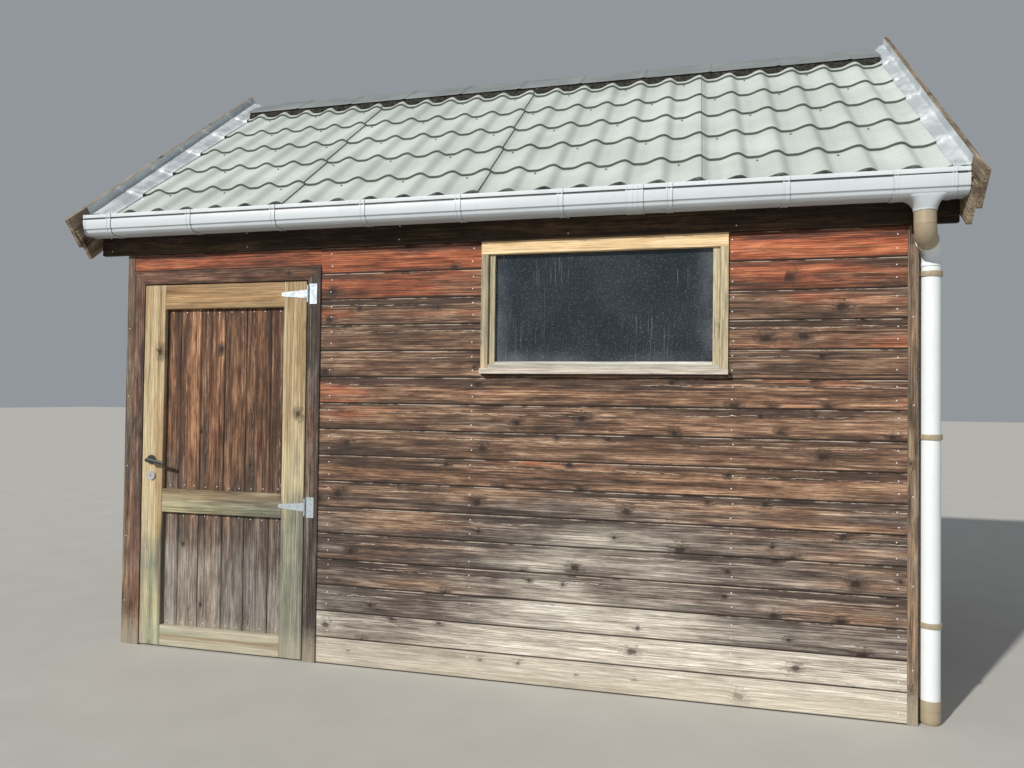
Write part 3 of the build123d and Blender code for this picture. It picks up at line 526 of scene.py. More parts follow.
fresh_stain = ((0.115, 0.031, 0.015), (0.36, 0.104, 0.051), (0.55, 0.22, 0.11))
worn_stain = ((0.044, 0.025, 0.017), (0.2, 0.113, 0.073), (0.54, 0.36, 0.235))
grey_wood = ((0.048, 0.037, 0.031), (0.185, 0.148, 0.125), (0.43, 0.365, 0.31))
bare_wood = ((0.36, 0.32, 0.27), (0.6, 0.55, 0.47), (0.78, 0.74, 0.66))
cladding_wood = weathered_timber("stained_cladding", [
    (None, fresh_stain), ((0.02, 0.3), worn_stain), ((0.4, 0.8), grey_wood), ((0.84, 1.16), bare_wood),
], line_light=0.75, edge_shade=0.66, edge_dirt_and_shade=0.9, fleck_share=0.62, fade_share=1.0, top_arris_highlight=0.8)

# %% [markdown]
# ## Boards
# A placing matrix turns a board the way it is nailed. Its mesh carries three layers for the finishes: the
# grain coordinates, the board's own record, and how far across it a point lies.

# %% Places and histories of boards
def frame_at(centre, along, across):
    """A placing matrix: X runs along the board, Y across it and Z out of its face."""
    along = Vector(along).normalized()
    across = Vector(across).normalized()
    turn = Matrix((along, across, along.cross(across))).transposed().to_4x4()
    return Matrix.Translation(Vector(centre)) @ turn


def start_boards():
    """A bmesh with the layers that every timber finish reads."""
    bm = bmesh.new()
    layers = bm.verts.layers
    layers.float_vector.new("grain")
    layers.float_vector.new("board")
    layers.float.new("across")
    return bm


def board_history(age, tone=None):
    """Where the board was cut from its tree, how light it is, a chance of its own, and its age."""
    offset = Vector((chance.uniform(0, 60), chance.uniform(-0.03, 0.03), chance.uniform(0.012, 0.05)))
    record = Vector((chance.random(), chance.random(), age))
    if tone is not None:
        record.x = tone
    return offset, record


print("boards have places and histories")

# %% [markdown]
# A board starts as a box along X. Its arrises are eased by a bevel, and its layers are filled in before it is
# turned into place, so that the grain lies along it. A slanting end is sawn off by a plane.

# %% Cut and saw boards
def add_board(bm, size, place, history, arris=0.002, segments=2, all_edges=True, slide=0.0):
    """One board: size is its length, width and thickness, and slide moves the grain along it."""
    fresh = bmesh.ops.create_cube(bm, size=1.0, matrix=Matrix.Diagonal((*size, 1.0)))["verts"]
    edges = {edge for vert in fresh for edge in vert.link_edges}
    if not all_edges:
        edges = {edge for edge in edges if abs(edge.verts[0].co.x - edge.verts[1].co.x) > size[0] / 2}
    bmesh.ops.bevel(bm, geom=list(edges), offset=arris, offset_type="OFFSET", segments=segments,
                    profile=0.5, affect="EDGES", material=-1)
    layers = bm.verts.layers
    grain, board, across = layers.float_vector["grain"], layers.float_vector["board"], layers.float["across"]
    made = [vert for vert in bm.verts if vert[grain].length_squared == 0.0]
    offset, record = history
    for vert in made:
        vert[grain] = vert.co + offset + Vector((slide, 0.0, 0.0))
        vert[board] = record
        vert[across] = 2.0 * vert.co.y / size[1]
    bmesh.ops.transform(bm, matrix=place, verts=made)
    return made


def cut_away(bm, made, point, normal):
    """Saw the geometry of some points along a plane, and close the cut faces."""
    faces = {face for vert in made for face in vert.link_faces}
    edges = {edge for vert in made for edge in vert.link_edges}
    cut = bmesh.ops.bisect_plane(bm, geom=list(made) + list(edges) + list(faces), dist=1e-6,
                                 plane_co=point, plane_no=normal, clear_outer=True)["geom_cut"]
    rim = [part for part in cut if isinstance(part, bmesh.types.BMEdge) and part.is_boundary]
    if rim:
        bmesh.ops.holes_fill(bm, edges=rim, sides=0)
    kept = [vert for vert in made if vert.is_valid]
    kept += [part for part in cut if isinstance(part, bmesh.types.BMVert)]
    return list(dict.fromkeys(kept))


print("boards can be cut and sawn")

# %% [markdown]
# A finished piece sits at the origin with its place in its mesh, rides on a body of the frame and hides the
# CAD parts it stands for. A part that needs no new shape only gets a better material.
# CAD parts it stands for. A part that needs no new shape only gets a better material.

# %% Finish a piece
def finish_piece(bm, name, material, replaced=(), smooth=None, body="shed"):
    """Turn a bmesh into a piece that rides on a body of the frame."""
    mesh = bpy.data.meshes.new(name)
    bm.to_mesh(mesh)
    bm.free()
    mesh.materials.append(material)
    if smooth is not None:
        mesh.shade_smooth()
        mesh.set_sharp_from_angle(angle=math.radians(smooth))
    piece = bpy.data.objects.new(name, mesh)
    scene.collection.objects.link(piece)
    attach(piece, body)
    if replaced:
        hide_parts(*replaced)
    print(f"{name}: {len(mesh.polygons)} faces")


def dress_parts(names, material):
    """Give CAD parts that keep their own shape a better material."""
    for name in names:
        nodes[name].data.materials.clear()
        nodes[name].data.materials.append(material)
    print(f"{material.name}: {len(names)} parts")


print("pieces can be finished")

# %% [markdown]
# ## Wall cladding
# The walls are tongued and grooved boards, each showing 140 mm, nailed on from the ground up. A row is one
# board that runs on behind the window and the door, so its halves share one grain. A narrow tongue closes
# each joint from behind, and the dark line there is a real gap.

# %% Measure the walls
board_cover = 0.14
board_gap = 0.0016
tongue_size = (0.016, 0.006)
corner_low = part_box("corner_boards_left")[0]
half_width, half_depth = -corner_low.x, -corner_low.y
middle_low, middle_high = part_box("front_cladding_middle")
right_low, right_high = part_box("front_cladding_right")
over_low, over_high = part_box("front_cladding_over_door")
under_low, under_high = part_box("front_cladding_under_window")
face_y, frame_y = -middle_low.y, -middle_high.y
cladding_top = middle_high.z
cladding_thickness = face_y - frame_y
row_count = math.ceil(cladding_top / board_cover)
wall_top = 16 * board_cover
print(f"walls: {row_count} rows, {cladding_top:.3f} m high, {2 * half_width:.2f} by {2 * half_depth:.2f} m")

# %% [markdown]
# The rows don't weather alike, so each has an age, from under 0 below the eaves to over 1 at the ground, and
# a lightness. They are set row by row, after a look at the real wall.

# %% Ages of the rows
row_ages = [1.34, 1.08, 0.79, 0.64, 0.62, 0.64, 0.56, 0.34, 0.5, 0.38, 0.3,
            0.42, 0.34, 0.26, 0.14, -0.14, -0.2]
row_tones = [0.6, 0.6, 0.55, 0.5, 0.5, 0.4, 0.45, 0.85, 0.35, 0.75, 0.9,
             0.4, 0.35, 0.4, 0.5, 0.85, 0.5]


def row_record(row):
    """How weathered a row is and how light; the gables' highest rows are like the last one."""
    row = min(row, len(row_ages) - 1)
    return row_ages[row], row_tones[row]


def lay_rows(bm, start, along, runs):
    """Rows of boards on a wall; runs gives, for a row, its stretches (from, to, low, high)."""
    along = Vector(along)
    for row in range(row_count):
        age, tone = row_record(row)
        history = board_history(age + chance.uniform(-0.05, 0.05), tone + chance.uniform(-0.06, 0.06))
        for run_from, run_to, low, high in runs(row):
            low_edge = low + (board_gap / 2 if low > 0 else 0.0)
            high_edge = high - board_gap / 2
            middle = (run_from + run_to) / 2
            centre = Vector(start) + along * middle + Vector((0, 0, (low_edge + high_edge) / 2))
            size = (run_to - run_from, high_edge - low_edge, cladding_thickness)
            add_board(bm, size, frame_at(centre, along, (0, 0, 1)), history,
                      arris=0.0028, all_edges=False, slide=middle)
            if high < cladding_top:
                joint = Vector(start) + along * middle + Vector((0, 0, high))
                tongue = (run_to - run_from - 0.002, *tongue_size)
                add_board(bm, tongue, frame_at(joint, along, (0, 0, 1)), history, arris=0.001,
                          segments=1, all_edges=False, slide=middle)


print(f"ages from {min(row_ages)} to {max(row_ages)}")

# %% [markdown]
# The front wall has the door at its left end and the window high in its middle. Each row is cut into the
# stretches that they leave. Holes cut in one big wall would be quicker, but then no board could have its own
# grain.

# %% Lay the front boards
def front_runs(row):
    """Stretches of one front row, left and right of the door and the window."""
    low, high = row * board_cover, min((row + 1) * board_cover, cladding_top)
    parts = []
    if high > over_low.z:
        parts.append((over_low.x, over_high.x, max(low, over_low.z), high))
    window_bottom = under_high.z
    if high <= window_bottom:
        return parts + [(middle_low.x, right_high.x, low, high)]
    parts.append((middle_low.x, middle_high.x, low, high))
    if low < window_bottom:
        parts.append((under_low.x, under_high.x, low, window_bottom))
    return parts + [(right_low.x, right_high.x, low, high)]


front_boards = start_boards()
wall_middle = -(face_y + frame_y) / 2
lay_rows(front_boards, (0.0, wall_middle, 0.0), (1, 0, 0), front_runs)
finish_piece(front_boards, "front_cladding_boards", cladding_wood,
             ["front_cladding_over_door", "front_cladding_middle", "front_cladding_under_window",
              "front_cladding_right"])

# %% Lay the back boards
back_low, back_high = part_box("back_cladding")


def back_runs(row):
    """One whole row across the back."""
    return [(back_low.x, back_high.x, row * board_cover, min((row + 1) * board_cover, cladding_top))]


back_boards = start_boards()
lay_rows(back_boards, (0.0, -wall_middle, 0.0), (-1, 0, 0), back_runs)
finish_piece(back_boards, "back_cladding_boards", cladding_wood, ["back_cladding"])

# %% [markdown]
# Everything on the roof is placed along its slope, so the slope gets its own two directions, up it and out of
# it. The back slope is its mirror image.

# %% Measure the roof slope
pitch = math.radians(38.3)
slope_up = Vector((0.0, math.cos(pitch), math.sin(pitch)))
slope_out = Vector((0.0, -math.sin(pitch), math.cos(pitch)))
eaves_edge = Vector((0.0, -1.584, 2.46786))
sheet_height = 0.042


def slope_point(x, along, above=0.0):
    """A point on the front slope: along it from the eaves edge, and above the crests of the tiles."""
    return Vector((x, 0.0, 0.0)) + eaves_edge + slope_up * along + slope_out * above


def mirrored(vector):
    """The same point or direction on the back slope."""
    return Vector((vector.x, -vector.y, vector.z))


under_sheets = slope_point(0.0, 0.0, -sheet_height - 0.001)
print(f"roof pitch {math.degrees(pitch):.1f} degrees, eaves edge at {eaves_edge.z:.2f} m")

# %% [markdown]
# The gables are laid like the walls, and their boards are sawn along the slope, just under the sheets. Sawing
# a box along a plane is one bisect, and the open end is then filled.

# %% Lay the gable boards
gable_low, gable_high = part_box("left_gable_cladding")
reach = gable_high.y - gable_low.y
tongue_width, tongue_thickness = tongue_size
slopes = ((under_sheets, slope_out), (mirrored(under_sheets), mirrored(slope_out)))
for side, side_name in ((-1, "left"), (1, "right")):
    boards = start_boards()
    wall_x = side * (half_width - 0.003 - cladding_thickness / 2)
    for row in range(math.ceil(gable_high.z / board_cover)):
        foot = row * board_cover + (board_gap / 2 if row else 0.0)
        high = (row + 1) * board_cover
        history = board_history(max(row_record(row)[0], 0.02) + chance.uniform(-0.12, 0.12))
        parts = (
            (foot, high - board_gap / 2, reach, cladding_thickness, 0.0028, 2),
            (high - tongue_width / 2, high + tongue_width / 2, reach - 0.002, tongue_thickness, 0.001, 1),
        )
        for part_low, part_high, length, thickness, arris, segments in parts:
            centre = (wall_x, 0.0, (part_low + part_high) / 2)
            made = add_board(boards, (length, part_high - part_low, thickness),
                             frame_at(centre, (0, side, 0), (0, 0, 1)), history, arris=arris,
                             segments=segments, all_edges=False)
            for point, normal in slopes:
                if made and max((vert.co - point).dot(normal) for vert in made) > 0.0:
                    made = cut_away(boards, made, point, normal)
    finish_piece(boards, f"{side_name}_gable_boards", cladding_wood,
                 [f"{side_name}_gable_cladding"])

# %% [markdown]
# ## Corner boards
# Two boards meet at each corner and cover the ends of the cladding. The tops of the wide ones are sawn to the
# slope. Beside the downpipe's elbow the right board has a notch with a rounded foot, cut here as three
# slanting saw cuts.

# %% Corner boards
corner_wood = weathered_timber("corner_board_pine", [
    (None, ((0.08, 0.05, 0.031), (0.29, 0.19, 0.122), (0.5, 0.37, 0.25))),
    ((0.2, 0.6), ((0.09, 0.074, 0.058), (0.25, 0.208, 0.165), (0.44, 0.385, 0.315))),
    ((0.84, 1.2), bare_wood),
], ring_width=0.007, ring_share=0.45, knot_share=0.35, line_light=0.15, edge_shade=0.1)
under_purlins = slope_point(0.0, 0.0, -sheet_height - 0.07)
corner_face_width = 0.045
corner_side_width = 0.12
corner_thickness = half_depth - frame_y
pipe_notch = (0.037, 0.12)


def add_corner(bm, x_side, y_side):
    """The narrow front board and the wide gable board of one corner."""
    face_middle = y_side * (half_depth - corner_thickness / 2)
    across = (y_side, 0, 0)
    history = board_history(0.35 + chance.uniform(-0.1, 0.1))
    full_top = wall_top
    if x_side > 0:
        # The right board is cut back beside the elbow of the downpipe
        full_top = wall_top - pipe_notch[1] + pipe_notch[0]
        narrow = corner_face_width - pipe_notch[0]
        x, z = half_width - corner_face_width + narrow / 2, (wall_top + full_top) / 2
        add_board(bm, (wall_top - full_top, narrow, corner_thickness),
                  frame_at((x, face_middle, z), (0, 0, 1), across), history, arris=0.001, segments=1, slide=z)
    x, z = x_side * (half_width - corner_face_width / 2), full_top / 2
    made = add_board(bm, (full_top, corner_face_width, corner_thickness),
                     frame_at((x, face_middle, z), (0, 0, 1), across), history, slide=z)
    if x_side > 0:
        round_middle = Vector((half_width - pipe_notch[0], 0.0, wall_top - pipe_notch[1]))
        for lean in (15, 45, 75):
            normal = Matrix.Rotation(math.radians(-lean), 3, "Y") @ Vector((1.0, 0.0, 0.0))
            made = cut_away(bm, made, round_middle + normal * pipe_notch[0], normal)
    leaf_width = corner_side_width - corner_thickness
    leaf_middle = y_side * (frame_y - leaf_width / 2)
    leaf_x = x_side * (half_width - corner_thickness / 2)
    height = 2.6
    made = add_board(bm, (height, leaf_width, corner_thickness),
                     frame_at((leaf_x, leaf_middle, height / 2), (0, 0, 1), (0, -x_side, 0)),
                     board_history(0.4 + chance.uniform(-0.1, 0.1)), all_edges=False)
    point, normal = under_purlins, slope_out
    if y_side > 0:
        point, normal = mirrored(point), mirrored(normal)
    cut_away(bm, made, point, normal)


for x_side, side_name in ((-1, "left"), (1, "right")):
    corners = start_boards()
    for y_side in (-1, 1):
        add_corner(corners, x_side, y_side)
    finish_piece(corners, f"corner_boards_{side_name}_dressed", corner_wood,
                 [f"corner_boards_{side_name}"])

# %% [markdown]
# ## Fascia and barge boards
# Along the eaves a fascia of dark brown stain, darkened further as painted shade of the gutter, closes the
# top of the wall, and along each gable two barge boards climb to the ridge. Each is a box laid along the
# slope, longer than it has to be, and sawn plumb at the ridge.

# %% Fascia boards
# The fascia's tones are its dark brown stain, made darker still as painted shade under the gutter.
fascia_stain_and_shade = weathered_timber("fascia_brown_and_shade", [
    (None, ((0.01, 0.006, 0.003), (0.038, 0.022, 0.01), (0.14, 0.086, 0.042))),
], ring_share=0.3, knot_share=0.4, line_light=0.1, edge_shade=0.1)
fascia_low, fascia_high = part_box("fascia_boards")
fascia_thickness = 0.028
barge_inner = fascia_high.x

fascias = start_boards()
for y_side in (-1, 1):
    middle = Vector((0.0, y_side * (face_y + fascia_thickness / 2), (fascia_low.z + fascia_high.z) / 2))
    size = (2 * barge_inner, fascia_high.z - fascia_low.z, fascia_thickness)
    add_board(fascias, size, frame_at(middle, (-y_side, 0, 0), (0, 0, 1)), board_history(0.1))
finish_piece(fascias, "fascia_boards_dressed", fascia_stain_and_shade, ["fascia_boards"])

# %% Barge boards
barge_wood = weathered_timber("raw_barge_timber", [
    (None, ((0.15, 0.11, 0.074), (0.33, 0.262, 0.18), (0.56, 0.48, 0.36))),
    ((0.3, 0.8), ((0.14, 0.118, 0.092), (0.31, 0.268, 0.212), (0.52, 0.465, 0.38))),
], ring_width=0.006, ring_share=0.4, knot_share=0.35, line_light=0.2, edge_shade=0.1)
barge_thickness, barge_width = 0.023, 0.172
ridge_gap = 0.0005
past_ridge = 2.35
barge_layers = {
    "outer_barge": (barge_thickness * 1.5, 0.165, 0.045),
    "inner_barge": (barge_thickness * 0.5, 0.16, -0.03),
}
for layer, (beyond_inner, foot, top) in barge_layers.items():
    for side, side_name in ((-1, "left"), (1, "right")):
        barges = start_boards()
        x = side * (barge_inner + beyond_inner)
        for y_side in (-1, 1):
            # From below the eaves to past the ridge, and then sawn plumb there
            middle = slope_point(x, (past_ridge - foot) / 2, top - barge_width / 2)
            along, across = slope_up * side, slope_out
            if y_side > 0:
                middle, along, across = mirrored(middle), mirrored(-along), mirrored(across)
            made = add_board(barges, (past_ridge + foot, barge_width, barge_thickness),
                             frame_at(middle, along, across), board_history(0.35 + chance.uniform(-0.2, 0.2)))
            cut_away(barges, made, Vector((0.0, y_side * ridge_gap, 0.0)), Vector((0.0, -y_side, 0.0)))
        finish_piece(barges, f"{layer}_{side_name}_dressed", barge_wood,
                     [f"{layer}_{side_name}"])

# %% [markdown]
# ## Door
# The door frame is dark stained trim, and the leaf is a frame of green treated pine in front of six upright
# boards. Each stile and rail was cut from its own plank, and its age gives it its own tone, so three calls of
# the timber finish are enough.

# %% Door finishes
trim_wood = weathered_timber("door_trim_stain", [
    (None, ((0.034, 0.017, 0.011), (0.155, 0.08, 0.054), (0.36, 0.22, 0.155))),
    ((0.25, 0.65), ((0.036, 0.029, 0.025), (0.11, 0.09, 0.077), (0.32, 0.28, 0.24))),
], ring_share=0.2, knot_share=0.4, line_light=0.55, edge_shade=0.3, edge_dirt_and_shade=0.3)
pine_orange = ((0.27, 0.145, 0.058), (0.56, 0.365, 0.185), (0.74, 0.56, 0.33))
pine_yellow = ((0.34, 0.22, 0.11), (0.7, 0.58, 0.36), (0.84, 0.75, 0.54))
pine_green = ((0.11, 0.105, 0.078), (0.29, 0.285, 0.225), (0.47, 0.46, 0.36))
pine_grey = ((0.34, 0.31, 0.23), (0.55, 0.515, 0.395), (0.66, 0.63, 0.51))
leaf_frame_wood = weathered_timber("green_treated_pine", [
    (None, pine_orange), ((-0.25, 0.05), pine_yellow), ((0.34, 0.66), pine_green), ((1.1, 1.3), pine_grey),
], ring_width=0.008, ring_share=0.38, knot_share=0.12, line_light=0.2, edge_shade=0.12, edge_dirt_and_shade=0.2,
   low_ageing=0.5, fleck_share=0.2, contrast=0.6,
   streaks=((0.55, 17.0, 0.62, (0.52, 0.38, 0.26)), (0.4, 9.0, 0.9, (0.86, 0.98, 0.92))))
leaf_board_wood = weathered_timber("door_board_stain", [
    (None, ((0.034, 0.018, 0.012), (0.175, 0.085, 0.048), (0.56, 0.32, 0.18))),
    ((0.45, 0.9), ((0.045, 0.035, 0.029), (0.165, 0.128, 0.105), (0.38, 0.315, 0.265))),
    ((1.00, 1.25), ((0.12, 0.105, 0.09), (0.29, 0.26, 0.23), (0.48, 0.44, 0.4))),
], ring_width=0.008, ring_share=0.2, knot_share=0.3, line_light=0.3, edge_shade=0.45, edge_dirt_and_shade=0.4,
   low_ageing=0.95)

# %% [markdown]
# The trim is a flat frame round the opening. Each piece is laid square and then sawn along the mitre, as on
# the bench. A thin stop behind it catches the closed leaf.

# %% Door trim and stops
trim_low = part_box("door_trim_left")[0]
trim_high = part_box("door_trim_right")[1]
head_low, head_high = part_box("door_trim_head")
trim_width = 0.076
trim_face = -trim_low.y
opening_left = trim_low.x + trim_width
opening_right = trim_high.x - trim_width
opening_top = head_high.z - trim_width
stop_size = (0.015, 0.03)
stop_middle = -1.4255
trim_depth = trim_face - frame_y
trim_middle = -(trim_face + frame_y) / 2
upright = (0, 0, 1)

for side_name, corner_x, side, age, tone in (
    ("left", opening_left, 1, 0.42, 0.7), ("right", opening_right, -1, 0.55, 0.15),
):
    trim = start_boards()
    middle = (corner_x - side * trim_width / 2, trim_middle, head_high.z / 2)
    made = add_board(trim, (head_high.z, trim_width, trim_depth), frame_at(middle, upright, (-1, 0, 0)),
                     board_history(age, tone), arris=0.0015)
    # Saw the mitre through the top corner of the opening, at 45 degrees
    cut_away(trim, made, Vector((corner_x, 0.0, opening_top)), Vector((side, 0.0, 1.0)))
    stop_x = corner_x + side * stop_size[0] / 2
    add_board(trim, (opening_top, stop_size[0], stop_size[1]),
              frame_at((stop_x, stop_middle, opening_top / 2), upright, (-1, 0, 0)), board_history(0.2))
    finish_piece(trim, f"door_trim_{side_name}_dressed", trim_wood,
                 [f"door_trim_{side_name}"])

trim = start_boards()
made = add_board(trim, (head_high.x - head_low.x, trim_width, trim_depth),
                 frame_at(((head_low.x + head_high.x) / 2, trim_middle, opening_top + trim_width / 2),
                          (1, 0, 0), upright), board_history(0.02, 0.9), arris=0.0015)
for corner_x, side in ((opening_left, -1), (opening_right, 1)):
    made = cut_away(trim, made, Vector((corner_x, 0.0, opening_top)), Vector((side, 0.0, -1.0)))
add_board(trim, (opening_right - opening_left - 2 * stop_size[0], stop_size[0], stop_size[1]),
          frame_at(((opening_left + opening_right) / 2, stop_middle, opening_top - stop_size[0] / 2),
                   (1, 0, 0), upright), board_history(0.2))
finish_piece(trim, "door_trim_head_dressed", trim_wood, ["door_trim_head"])

# %% [markdown]
# The stiles run the full height of the leaf and the rails fit between them. They only touch, because the
# joint is hidden in the real one too.

# %% Leaf frame
stiles_low, stiles_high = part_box("door_stiles")
stile_width = 0.135
stile_thickness = stiles_high.y - stiles_low.y
stile_middle = (stiles_low.y + stiles_high.y) / 2
leaf_height = stiles_high.z - stiles_low.z
leaf_middle_z = (stiles_low.z + stiles_high.z) / 2

stiles = start_boards()
for stile_x, age in ((stiles_low.x + stile_width / 2, 0.12), (stiles_high.x - stile_width / 2, 0.22)):
    add_board(stiles, (leaf_height, stile_width, stile_thickness),
              frame_at((stile_x, stile_middle, leaf_middle_z), upright, (-1, 0, 0)), board_history(age))
finish_piece(stiles, "door_stiles_dressed", leaf_frame_wood, ["door_stiles"], body="door")

rails_low, rails_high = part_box("door_rails")
rails = start_boards()
for rail_bottom, rail_height, age, tone in ((0.01, 0.116, 0.95, 0.55), (0.767, 0.131, 0.25, 0.4),
                                            (1.924, 0.138, -0.3, 0.3)):
    middle = ((rails_low.x + rails_high.x) / 2, stile_middle, rail_bottom + rail_height / 2)
    add_board(rails, (rails_high.x - rails_low.x, rail_height, stile_thickness),
              frame_at(middle, (1, 0, 0), upright), board_history(age, tone))
finish_piece(rails, "door_rails_dressed", leaf_frame_wood, ["door_rails"], body="door")

# %% [markdown]
# The boards behind the frame are of uneven widths, with eased joints. A strip behind each joint keeps the
# light out, as the tongue of the real board does.

# %% Leaf boards
leaf_boards_low, leaf_boards_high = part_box("door_boards")
board_edges = [leaf_boards_low.x, -1.741, -1.608, -1.455, -1.317, -1.165, leaf_boards_high.x]
leaf_board_gap = 0.002
joint_strip = (0.014, 0.005)
leaf_boards = start_boards()
board_height = leaf_boards_high.z - leaf_boards_low.z
board_depth = leaf_boards_high.y - leaf_boards_low.y
_, board_y, board_z = (leaf_boards_low + leaf_boards_high) / 2
for left, right in zip(board_edges, board_edges[1:]):
    add_board(leaf_boards, (board_height, right - left - leaf_board_gap, board_depth),
              frame_at(((left + right) / 2, board_y, board_z), upright, (-1, 0, 0)),
              board_history(0.25 + chance.uniform(-0.1, 0.1)), arris=0.003)
for joint in board_edges[1:-1]:
    add_board(leaf_boards, (board_height - 0.002, *joint_strip),
              frame_at((joint, board_y, board_z), upright, (-1, 0, 0)), board_history(0.4), arris=0.001,
              segments=1)
finish_piece(leaf_boards, "door_boards_dressed", leaf_board_wood, ["door_boards"], body="door")

# %% [markdown]
# ## Window
# The window is a heavy border nailed into the wall, with a lighter sash and one pane. Its top is bright
# yellow pine that the fascia shelters, the sides are greener, and the sill is washed grey.

# %% Window finishes
window_wood = weathered_timber("window_pine", [
    (None, ((0.52, 0.31, 0.14), (0.88, 0.66, 0.38), (0.92, 0.78, 0.54))),
    ((0.25, 0.5), ((0.19, 0.17, 0.105), (0.54, 0.48, 0.33), (0.66, 0.61, 0.46))),
    ((0.75, 1.00), ((0.52, 0.5, 0.42), (0.77, 0.76, 0.67), (0.84, 0.83, 0.76))),
], ring_width=0.006, ring_share=0.28, knot_share=0.05, line_light=0.1, edge_shade=0.05, edge_dirt_and_shade=0.1,
   fleck_share=0.15, contrast=0.6)
sill_wood = weathered_timber("washed_sill", [
    (None, ((0.42, 0.36, 0.305), (0.68, 0.6, 0.52), (0.8, 0.74, 0.67))),
], ring_share=0.25, knot_share=0.2, line_light=0.1, edge_shade=0.0, edge_dirt_and_shade=0.12, fleck_share=0.2,
   contrast=0.75)

# %% [markdown]
# The border and the sash are straight bars between four edges, so one helper lays them all. They are butted,
# as the real ones are.

# %% Window border and sash
border_low, border_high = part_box("window_frame")
border_sides, border_top_height, border_bottom_height = 0.038, 0.066, 0.021
sash_face, sash_depth = -1.478, 0.042
sash_side, sash_bottom = 0.033, 0.015
border_depth = border_high.y - border_low.y
border_middle = (border_low.y + border_high.y) / 2
inner_left, inner_right = border_low.x + border_sides, border_high.x - border_sides
inner_bottom, inner_top = border_low.z + border_bottom_height, border_high.z - border_top_height


def add_window_bar(bm, left, right, bottom, top, y_middle, depth, age, lying):
    """One straight bar of the window between four edges."""
    size = (right - left, top - bottom, depth) if lying else (top - bottom, right - left, depth)
    along, across = ((1, 0, 0), upright) if lying else (upright, (-1, 0, 0))
    middle = ((left + right) / 2, y_middle, (bottom + top) / 2)
    add_board(bm, size, frame_at(middle, along, across), board_history(age), arris=0.002)


window = start_boards()
sash_left, sash_right = inner_left + sash_side, inner_right - sash_side
for left, right, bottom, top, age, lying in (
    (border_low.x, border_high.x, inner_top, border_high.z, -0.1, True),
    (border_low.x, inner_left, border_low.z, inner_top, 0.45, False),
    (inner_right, border_high.x, border_low.z, inner_top, 0.45, False),
    (inner_left, inner_right, border_low.z, inner_bottom, 0.9, True),
):
    add_window_bar(window, left, right, bottom, top, border_middle, border_depth, age, lying)
for left, right, top, age, lying in (
    (inner_left, sash_left, inner_top, 0.5, False), (sash_right, inner_right, inner_top, 0.5, False),
    (sash_left, sash_right, inner_bottom + sash_bottom, 1.0, True),
):
    add_window_bar(window, left, right, inner_bottom, top, sash_face + sash_depth / 2, sash_depth, age, lying)
finish_piece(window, "window_frame_dressed", window_wood, ["window_frame"])

# %% Window sill
sill_low, sill_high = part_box("window_sill")
sill = start_boards()
add_board(sill, (sill_high.x - sill_low.x, sill_high.z - sill_low.z, sill_high.y - sill_low.y),
          frame_at((sill_low + sill_high) / 2, (1, 0, 0), upright), board_history(0.9), arris=0.004)
finish_piece(sill, "window_sill_dressed", sill_wood, ["window_sill"])

# %% [markdown]
# Old glass is never clear: dust gathers along its edges, mist dries in a film and rain leaves thin runs. Dirt
# has no thickness worth modelling, so the pane keeps its CAD shape and gets masks on its colour and alpha.

# %% Dusty glass
glass, tree, shader = start_material("dusty_glass", Roughness=0.12, IOR=1.5)
place = object_place(tree)
grime = grime_on(tree, 120.0)
thin_runs = soft_noise(tree, stretched(tree, place, 260.0, 1.0, 4.5), detail=2.0, roughness=0.4)
drip_reach = threshold(tree, soft_noise(tree, stretched(tree, place, 4.5, 1.0, 3.0)), 0.5, 0.62)
drips = product(tree, threshold(tree, thin_runs, 0.62, 0.72), drip_reach)
pane_axes = axis_values(tree, place)
from_side = number(tree, "ABSOLUTE", number(tree, "SUBTRACT", pane_axes["X"], (sash_left + sash_right) / 2))
half_pane = (sash_right - sash_left) / 2
pane_foot = inner_bottom + sash_bottom
near_edge = number(tree, "MAXIMUM", threshold(tree, from_side, half_pane - 0.1, half_pane),
                   threshold(tree, pane_axes["Z"], pane_foot, inner_bottom + 0.1, 1.0, 0.0))
edge_dust = product(tree, near_edge, threshold(tree, grime["Film"], 0.3, 0.7, 0.02, 0.11))
mist = soft_noise(tree, place, 130.0, 3.0, 0.7)
dust = number(tree, "ADD", threshold(tree, grime["Film"], 0.35, 0.75, 0.0, 0.03),
              threshold(tree, mist, 0.52, 0.7, 0.0, 0.12))
dust = number(tree, "ADD", dust, edge_dust)
dust = number(tree, "ADD", dust, product(tree, drips, 0.2), clamp=True)
dust = number(tree, "ADD", dust, product(tree, grime["Specks"], 0.1), clamp=True)
tree.links.new(blend(tree, dust, (0.018, 0.027, 0.036), (0.62, 0.68, 0.72)), shader["Base Color"])
tree.links.new(number(tree, "MULTIPLY_ADD", dust, 0.3, 0.84), shader["Alpha"])
dress_parts(["window_glass"], glass)

# %% [markdown]
# ## Sheet metal roof
# The roof sheets are pressed from thin painted steel: waves run down the slope, and every 337 mm the sheet
# steps down like a tile's lower edge. Loose tiles could be laid instead, but the real sheets run through, so
# a flat grid is pushed into shape by a formula.

# %% Sheet metal tools
def mapped_grid(bm, columns, rows, place):
    """A grid of points, each one moved to where place(column, row) puts it."""
    across, along = len(columns) - 1, len(rows) - 1
    fresh = bmesh.ops.create_grid(bm, x_segments=across, y_segments=along, size=1.0)["verts"]
    for vert in fresh:
        column = columns[round((vert.co.x + 1.0) / 2.0 * across)]
        row = rows[round((vert.co.y + 1.0) / 2.0 * along)]
        vert.co = place(column, row)
    return fresh


def spread(low, high, steps):
    """Evenly spaced numbers from low to high, both ends included."""
    return [low + (high - low) * step / steps for step in range(steps + 1)]


def thicken(bm, thickness):
    """Give a sheet its thickness, to the side the faces look away from."""
    bmesh.ops.recalc_face_normals(bm, faces=bm.faces[:])
    bmesh.ops.solidify(bm, geom=bm.faces[:], thickness=thickness)
    bmesh.ops.recalc_face_normals(bm, faces=bm.faces[:])


